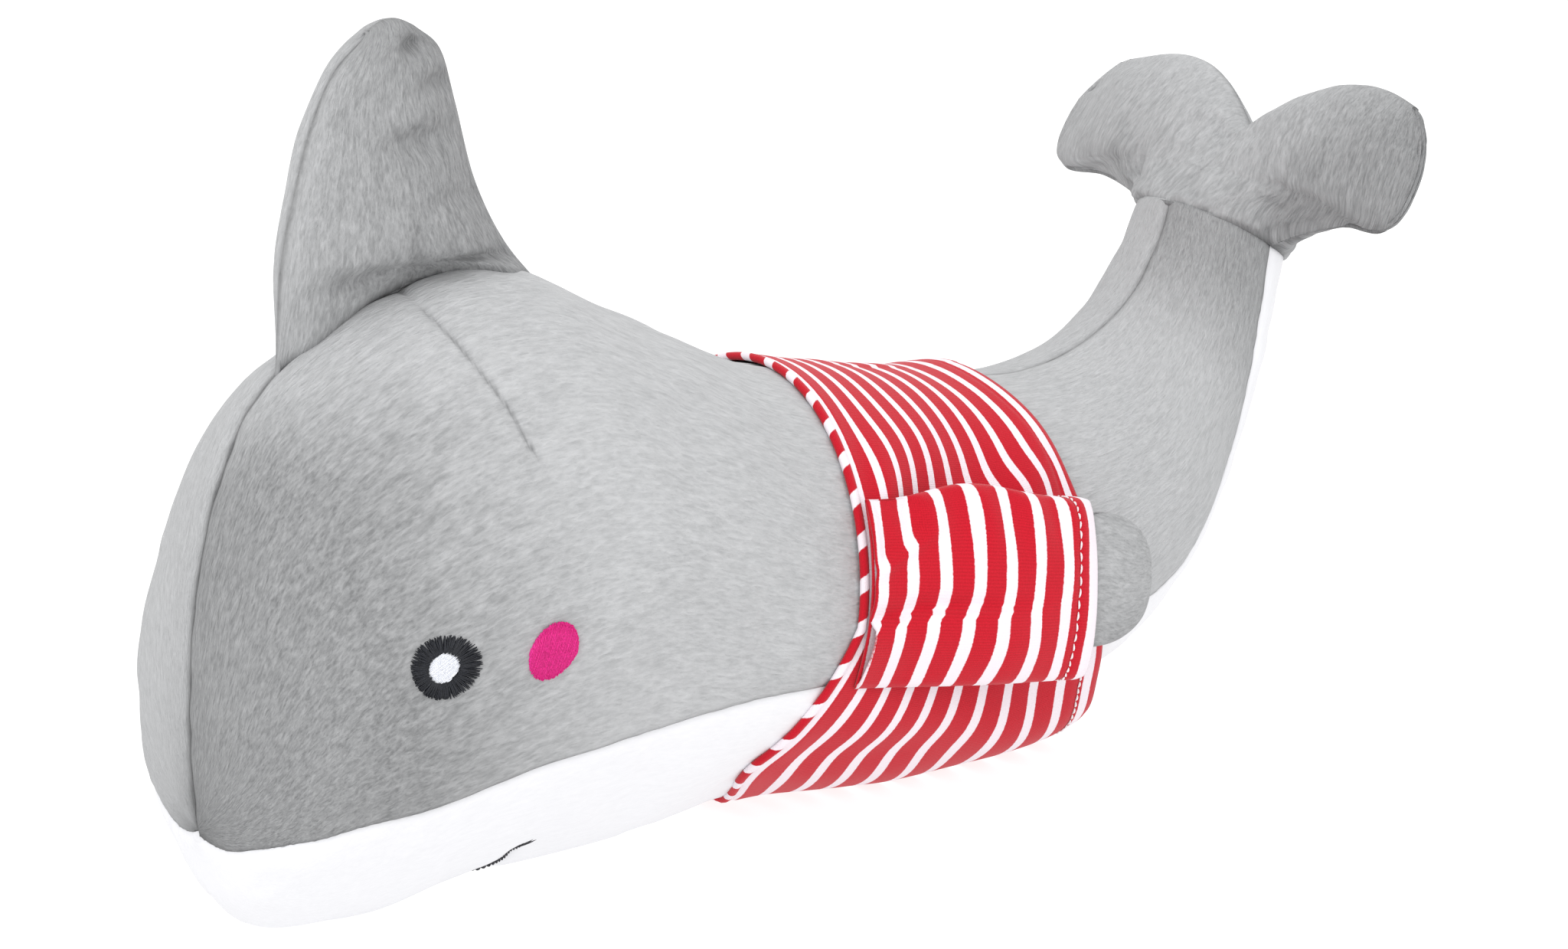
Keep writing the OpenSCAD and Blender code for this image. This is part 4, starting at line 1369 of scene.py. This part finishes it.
        def pattern(u: float, v: float) -> tuple[float, float]:
            """The place on the striped cloth, measured from the hem."""
            rear = mix(self.seam, self.sleeve_length, u)
            up = self.sleeve_width / 2 * math.sin(2 * math.pi * v)
            x = max(1.0 * MM, self.sleeve_length - rear - 0.6 * MM)
            if math.cos(2 * math.pi * v) > 0:
                fade = 1 - ease((rear - 0.022) / 0.045)
                x -= 4.6 * MM * ease((self.crease_line(rear) - up + 1.5 * MM) / (5 * MM)) * fade
            x += 0.7 * MM * noise.noise(Vector((rear, up, 0.3)) / 0.02)
            return x, v * 2 * self.sleeve_width

        bm = shaped_grid(130, 150, place, self.side, pattern)
        sleeve = thicken(finish_mesh(bm, f"sleeve_cloth_{self.side.word}", looks.sleeve), self.cloth)
        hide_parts(f"sleeve_{self.side.word}")

        bm = bmesh.new()
        around = 46
        line = self.sleeve_length - 8 * MM

        def on_sleeve(x: float, y: float, lift: float) -> Vector:
            """The point for a distance along the sleeve and a share round it."""
            return self.side.turn(self.sleeve_point(line + x, y, lift - 0.25 * MM))

        for i in range(around):
            first, last = 360 * (i + 0.12) / around, 360 * (i + 0.88) / around
            self.stitch(bm, on_sleeve, first, last, 0.12 * MM * (-1) ** i)
        bmesh.ops.recalc_face_normals(bm, faces=bm.faces)
        stitches = finish_mesh(bm, f"sleeve_stitches_{self.side.word}", looks.stitch)
        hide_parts(f"sleeve_stitch_{self.side.word}")
        return [sleeve, stitches]

    @staticmethod
    def stitch(bm: bmesh.types.BMesh, place: Callable[[float, float, float], Vector], first: float,
               last: float, wander: float) -> None:
        """Adds one running stitch between two angles round a hem.

        Args:
            bm: the mesh that the stitch joins.
            place: gives the point for a distance across the line, an angle and a height.
            first: the angle where the stitch starts.
            last: the angle where it ends.
            wander: how far it leans across the line.
        """
        made = bmesh.ops.create_grid(bm, x_segments=4, y_segments=6, size=1)
        for vert in made["verts"]:
            share, roll = (vert.co.x + 1) / 2, math.pi * vert.co.y
            thick = 0.34 * MM * (0.35 + 0.65 * math.sin(math.pi * share) ** 0.5)
            centre = wander * (share - 0.5) * 2
            rise = 0.25 * MM * math.sin(math.pi * share)
            vert.co = place(centre + thick * math.cos(roll), mix(first, last, share),
                            rise + thick * math.sin(roll))
        bmesh.ops.remove_doubles(bm, verts=made["verts"], dist=0.005 * MM)

    def build(self, looks: Finishes) -> list[bpy.types.Object]:
        """Builds the fin and the sleeve, and bakes their placement into their meshes."""
        pieces = self.build_fin(looks) + self.build_sleeve(looks)
        hinge = self.side.turn(self.axes()[0])
        for piece in pieces:
            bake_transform(piece)
        return pieces


# ---- Shirt --------------------------------------------------------------------------


@dataclass(frozen=True)
class Shirt:
    """The striped tube round the torso, its collar binding and its hem stitches."""

    collar_t: float = 9.1
    hem_t: float = 11.502
    cloth: float = 1.1 * MM
    gap: float = 0.7 * MM
    bands: float = 10.62
    pitch: float = 12.7 * MM
    band_width: float = 3.4 * MM
    rows: int = 130
    columns: int = 240

    def collar_at(self, a: float) -> float:
        """The collar seam's place along the body at an angle."""
        s = math.sin(math.radians(a))
        return self.collar_t + s * (0.4 if s > 0 else 1.2) + 0.5 * ease((self.from_top(a) - 128) / 35)

    def hem_at(self, a: float) -> float:
        """The hem's place along the body at an angle."""
        return self.hem_t + 0.1 - 0.12 * math.sin(math.radians(a))

    @staticmethod
    def from_top(a: float) -> float:
        """The angle down either side from the middle of the back, in degrees."""
        return abs((a + 90) % 360 - 180)

    def wrinkles(self, share: float, a: float) -> float:
        """How far the loose cloth stands out: pulls above the sleeves and drape below them."""
        side = self.from_top(a)
        across = Vector((share * 2.2, side / 60, 1.0 if 90 < a % 360 < 270 else 4.0))
        slack = ease(share / 0.15)
        upper = bump(side - 58, 24) * (1 - 0.4 * ease((share - 0.9) / 0.1))
        lift = 1.7 * MM * upper * math.sin(share * 11 + side * 0.10 + 1.6 * noise.noise(across)) * slack
        lift += 1.2 * MM * upper * ease((share - 0.45) / 0.3)
        lift += 6.0 * MM * bump(side - 138, 25) * ease((share - 0.35) / 0.6)
        lift -= 1.1 * MM * bump(side - 140, 30) * (1 - ease((share - 0.4) / 0.4))
        fold = share * 7.5 - side * 0.125 + 1.2 * noise.noise(across * 1.3)
        lift += 1.6 * MM * bump(side - 126, 16) * math.sin(fold) * slack
        return lift + 0.7 * MM * noise.noise(across * 2.4) * slack

    def drift(self, share: float, a: float) -> float:
        """How far the stripes are pulled along the cloth, in metres."""
        side = self.from_top(a)
        rear = ease(share / 0.2) * (1 - ease((share - 0.9) / 0.1))
        pull = 2.6 * MM * math.sin(side * 0.105 + share * 4.0) * bump(side - 56, 20)
        small = math.sin(side * 0.30 + share * 9.0) * bump(side - 62, 14)
        pull += 1.0 * MM * small * ease((share - 0.35) / 0.3)
        pull -= 4.0 * MM * bump(side - 128, 20) * (1 - share)
        return pull * rear

    def surface(self, share: float, a: float, lift: float) -> Vector:
        """A point of the shirt, from the collar (0) to the hem (1)."""
        t = mix(self.collar_at(a), self.hem_at(a), share)
        base = self.gap + self.cloth + 0.9 * MM
        flare = 1.6 * MM * ease((share - 0.75) / 0.25)
        point = body_offset(t, a, base + flare + self.wrinkles(share, a) + lift)
        return Vector((point.x, point.y, max(GROUND + 0.2 * MM + max(0.0, lift), point.z)))

    def build(self, looks: Finishes) -> list[bpy.types.Object]:
        """Builds and dresses the shirt's pieces, and gives them."""

        def place(u: float, v: float) -> Vector:
            """The point of the shirt's outside."""
            neck = -0.8 * MM * (1 - ease(u / 0.04))
            hem = -0.5 * MM * bump(u - 1, 0.012) - 0.35 * MM * bump(u - 0.93, 0.010)
            return self.surface(u, 360 * v, neck + hem)

        length = self.bands * self.pitch

        def pattern(u: float, v: float) -> tuple[float, float]:
            """The place on the striped cloth, measured from the collar."""
            return u * length + self.drift(u, 360 * v), v * 0.4

        bm = shaped_grid(self.rows, self.columns, place, pattern=pattern)
        body = thicken(finish_mesh(bm, "shirt_cloth", looks.shirt), self.cloth)
        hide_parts("shirt_body")

        def binding(u: float, v: float) -> Vector:
            """The point of the rolled collar binding: round the neck, then round its own section."""
            a = 360 * v
            roll = 2 * math.pi * u
            back = self.band_width * 0.5 * math.cos(roll) / 42 / MM
            t = self.collar_at(a) - self.band_width * 0.1 / 42 / MM + back
            point = body_offset(t, a, 1.5 * MM + 1.3 * MM * math.sin(roll) + self.wrinkles(0, a))
            return Vector((point.x, point.y, max(GROUND + 0.1 * MM, point.z)))

        girth = 11.0 * MM * 34
        bm = shaped_grid(16, 300, binding, pattern=lambda u, v: (v * girth + u * 5 * MM, u * 0.012))
        bmesh.ops.recalc_face_normals(bm, faces=bm.faces)
        collar = finish_mesh(bm, "collar_binding", looks.collar)
        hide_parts("collar_band")

        bm = bmesh.new()
        count = 150

        def on_hem(x: float, y: float, lift: float) -> Vector:
            """The point for a distance along the shirt and an angle round it."""
            sunk = mix(1.3, 0.15, ease((self.from_top(y) - 90) / 20)) * MM
            return self.surface(0.93 + x / 0.1, y, lift - sunk)

        for i in range(count):
            first, last = 360 * (i + 0.08) / count, 360 * (i + 0.92) / count
            PectoralFin.stitch(bm, on_hem, first, last, 0.1 * MM * (-1) ** i)
        bmesh.ops.recalc_face_normals(bm, faces=bm.faces)
        stitches = finish_mesh(bm, "hem_stitches", looks.stitch)
        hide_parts("shirt_hem_stitch")
        pieces = [body, collar, stitches]
        for piece in pieces:
            bend_with_tail(piece)
        return pieces


# ---- Face ---------------------------------------------------------------------------


@dataclass(frozen=True)
class Face:
    """The embroidered eyes, cheeks and mouth."""

    eye: tuple[float, float] = (5.13, 6)
    cheek: tuple[float, float] = (6.05, -0.6)
    ring_radius: float = 9.9 * MM
    hole_radius: float = 4.5 * MM
    thread: float = 0.55 * MM
    height: float = 1.0 * MM

    def ring(self, side: Side, looks: Finishes) -> bpy.types.Object:
        """Builds the black ring of an eye from threads that run out from its middle."""
        rng = random.Random(11 + side.value)
        bm = bmesh.new()

        def place(x: float, y: float, lift: float) -> Vector:
            """The point beside the eye's middle."""
            return side.turn(beside(*self.eye, 1.06 * x - 0.30 * y, 0.97 * y, lift))

        count = 210
        for i in range(count):
            a = 2 * math.pi * i / count
            inner = self.hole_radius - 0.3 * MM + rng.uniform(-0.2, 0.2) * MM
            outer = self.ring_radius + rng.uniform(-0.45, 0.30) * MM
            lean = rng.uniform(-0.04, 0.04)
            start = (inner * math.cos(a), inner * math.sin(a))
            end = (outer * math.cos(a + lean), outer * math.sin(a + lean))
            thread_strip(bm, place, start, end, self.thread, self.height + rng.uniform(0, 0.25) * MM)
        piece = finish_mesh(bm, f"eye_black_{side.word}", looks.black_thread)
        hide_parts(f"eye_ring_{side.word}")
        return piece

    def fill(self, name: str, node: str, centre: tuple[float, float], radii: tuple[float, float], turn: float,
             lay: float, side: Side, material: bpy.types.Material, slot: str) -> bpy.types.Object:
        """Fills an oval with side-by-side threads.

        Args:
            name: the piece's name.
            node: the frame's node that it stands for.
            centre: the oval's middle on the body.
            radii: its two half sizes.
            turn: how far its long way is turned, in degrees.
            lay: the threads' direction, in degrees.
            side: the side of the face.
            material: the thread.
            slot: the record's slot, which is not used.

        Returns:
            The embroidered piece.
        """
        rng = random.Random(len(name) + side.value)
        bm = bmesh.new()

        def place(x: float, y: float, lift: float) -> Vector:
            """The point beside the oval's middle."""
            return side.turn(beside(*centre, x, y, lift))

        tilt, way = math.radians(turn), math.radians(lay)
        along_way = Vector((math.cos(way), math.sin(way)))
        across_way = Vector((-along_way.y, along_way.x))
        step = self.thread * 0.62
        reach = max(radii)
        rows = int(2 * reach / step)
        for i in range(rows):
            off = -reach + (i + 0.5) * step
            # The thread's line is cut by the oval: solve for where it enters and leaves.
            ends = []
            samples = 60
            for j in range(samples + 1):
                p = across_way * off + along_way * (reach * (2 * j / samples - 1))
                x = p.x * math.cos(tilt) + p.y * math.sin(tilt)
                y = -p.x * math.sin(tilt) + p.y * math.cos(tilt)
                if (x / radii[0]) ** 2 + (y / radii[1]) ** 2 <= 1:
                    ends.append(reach * (2 * j / samples - 1))
            if len(ends) > 1:
                a = across_way * off + along_way * (ends[0] + rng.uniform(-0.4, 0.15) * MM)
                b = across_way * off + along_way * (ends[-1] + rng.uniform(-0.15, 0.4) * MM)
                thread_strip(bm, place, (a.x, a.y), (b.x, b.y), self.thread,
                             self.height + rng.uniform(0, 0.3) * MM)
        piece = finish_mesh(bm, name, material)
        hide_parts(node)
        return piece

    def mouth(self, looks: Finishes) -> bpy.types.Object:
        """Builds the mouth from back stitches in its crease, with a small forked tick at each end."""
        path = PlushBody().mouth
        bm = bmesh.new()
        count = 26
        for side in Side:
            for i in range(count):
                first = along(path, (len(path) - 1) * (i + 0.04) / count)
                last = along(path, (len(path) - 1) * (i + 0.96) / count)

                def place(x: float, y: float, lift: float, first: list[float] = first,
                          last: list[float] = last, side: Side = side) -> Vector:
                    """The point for a share of the stitch and a distance across it."""
                    dip = 0.45 * MM * bump(i / count - 0.12, 0.07)
                    p = body_offset(mix(first[0], last[0], x), mix(first[1], last[1], x),
                                    lift - 0.6 * MM - dip)
                    return side.turn(Vector((p.x, p.y + y, max(0.3 * MM, p.z))))

                thread_strip(bm, place, (0, 0), (1, 0.0001), 0.0006, 0.8 * MM)
            for end in ((5.0, 4.4), (3.2, 5.6), (-3.4, 1.0)):

                def tick(x: float, y: float, lift: float, side: Side = side) -> Vector:
                    """The point beside the mouth's end."""
                    return side.turn(beside(*path[0], x, y, lift - 0.2 * MM))

                thread_strip(bm, tick, (0, 0), (end[0] * MM, end[1] * MM), 0.5 * MM, 0.6 * MM)
        bmesh.ops.recalc_face_normals(bm, faces=bm.faces)
        piece = finish_mesh(bm, "mouth_stitches", looks.mouth_thread)
        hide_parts("mouth_line")
        return piece

    def build(self, looks: Finishes) -> list[bpy.types.Object]:
        """Builds and dresses the face's pieces, and gives them."""
        pieces = [self.mouth(looks)]
        for side in Side:
            pieces.append(self.ring(side, looks))
            pieces.append(self.fill(f"eye_white_{side.word}", f"eye_centre_{side.word}", self.eye,
                                    (5.2 * MM, 4.1 * MM), 0, 8, side, looks.white_thread, "white_thread"))
            pieces.append(self.fill(f"cheek_pink_{side.word}", f"cheek_{side.word}", self.cheek,
                                    (9.0 * MM, 7.3 * MM), 38, 62, side, looks.pink_thread, "pink_thread"))
        for piece in pieces:
            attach(piece, "torso")
        return pieces


# ---- Studio -------------------------------------------------------------------------


@dataclass(frozen=True)
class Studio:
    """The pale floor, the soft lights and the camera."""

    azimuth: float = math.radians(50)
    elevation: float = math.radians(17)
    distance: float = 1.250
    target: tuple[float, float, float] = (0, -0.003, 0.100)
    lens: float = 91.2

    def light(self, name: str, place: tuple[float, float, float], size: float, power: float) -> None:
        """Adds a soft square light that faces the shark.

        Args:
            name: the light's name.
            place: where it hangs.
            size: the length of its sides.
            power: its power in watts.
        """
        data = bpy.data.lights.new(name, "AREA")
        data.size = size
        data.energy = power
        lamp = bpy.data.objects.new(name, data)
        lamp.location = place
        lamp.rotation_euler = (Vector(self.target) - Vector(place)).to_track_quat("-Z", "Y").to_euler()
        bpy.context.scene.collection.objects.link(lamp)

    def build(self) -> None:
        """Builds the camera, the floor, the lights and the pale surroundings."""
        scene = bpy.context.scene
        data = bpy.data.cameras.new("camera")
        data.lens = self.lens
        data.sensor_width = 36
        data.clip_start = 0.01
        camera = bpy.data.objects.new("camera", data)
        flat = math.cos(self.elevation) * self.distance
        camera.location = Vector(self.target) + Vector((
            flat * math.sin(self.azimuth), -flat * math.cos(self.azimuth),
            self.distance * math.sin(self.elevation)))
        camera.rotation_euler = (Vector(self.target) - camera.location).to_track_quat("-Z", "Y").to_euler()
        scene.collection.objects.link(camera)
        scene.camera = camera

        bm = bmesh.new()
        bmesh.ops.create_grid(bm, x_segments=1, y_segments=1, size=6)
        material, _, shader = start_material("pale_floor")
        shader.inputs["Base Color"].default_value = (0.25, 0.25, 0.25, 1)
        shader.inputs["Emission Color"].default_value = (1, 1, 1, 1)
        shader.inputs["Emission Strength"].default_value = 0.86
        shader.inputs["Roughness"].default_value = 0.9
        shader.inputs["Specular IOR Level"].default_value = 0.1
        floor = finish_mesh(bm, "floor", material)

        self.light("key", (0.9, -1.6, 1.9), 1.6, 26)
        self.light("fill", (2.2, 0.3, 0.9), 2.0, 8)
        self.light("back", (-1.4, 1.6, 1.6), 1.6, 14)
        world = bpy.data.worlds.new("soft_white")
        world.use_nodes = True
        world.node_tree.nodes["Background"].inputs["Color"].default_value = (1, 1, 1, 1)
        world.node_tree.nodes["Background"].inputs["Strength"].default_value = 0.95
        scene.world = world
        scene.view_settings.view_transform = "Standard"


def main() -> None:
    """Builds every piece in order and reports it."""
    logging.basicConfig(level=logging.INFO, format="%(name)s: %(message)s", stream=sys.stdout)
    Studio().build()
    looks = Finishes()
    builders = [PlushBody(), TailFluke(), DorsalFin(), Shirt(), Face()]
    builders += [PectoralFin(side) for side in Side]
    for builder in builders:
        for piece in builder.build(looks):
            LOG.info("%s: %d faces", piece.name, len(piece.data.polygons))


if __name__ == "__main__":
    main()
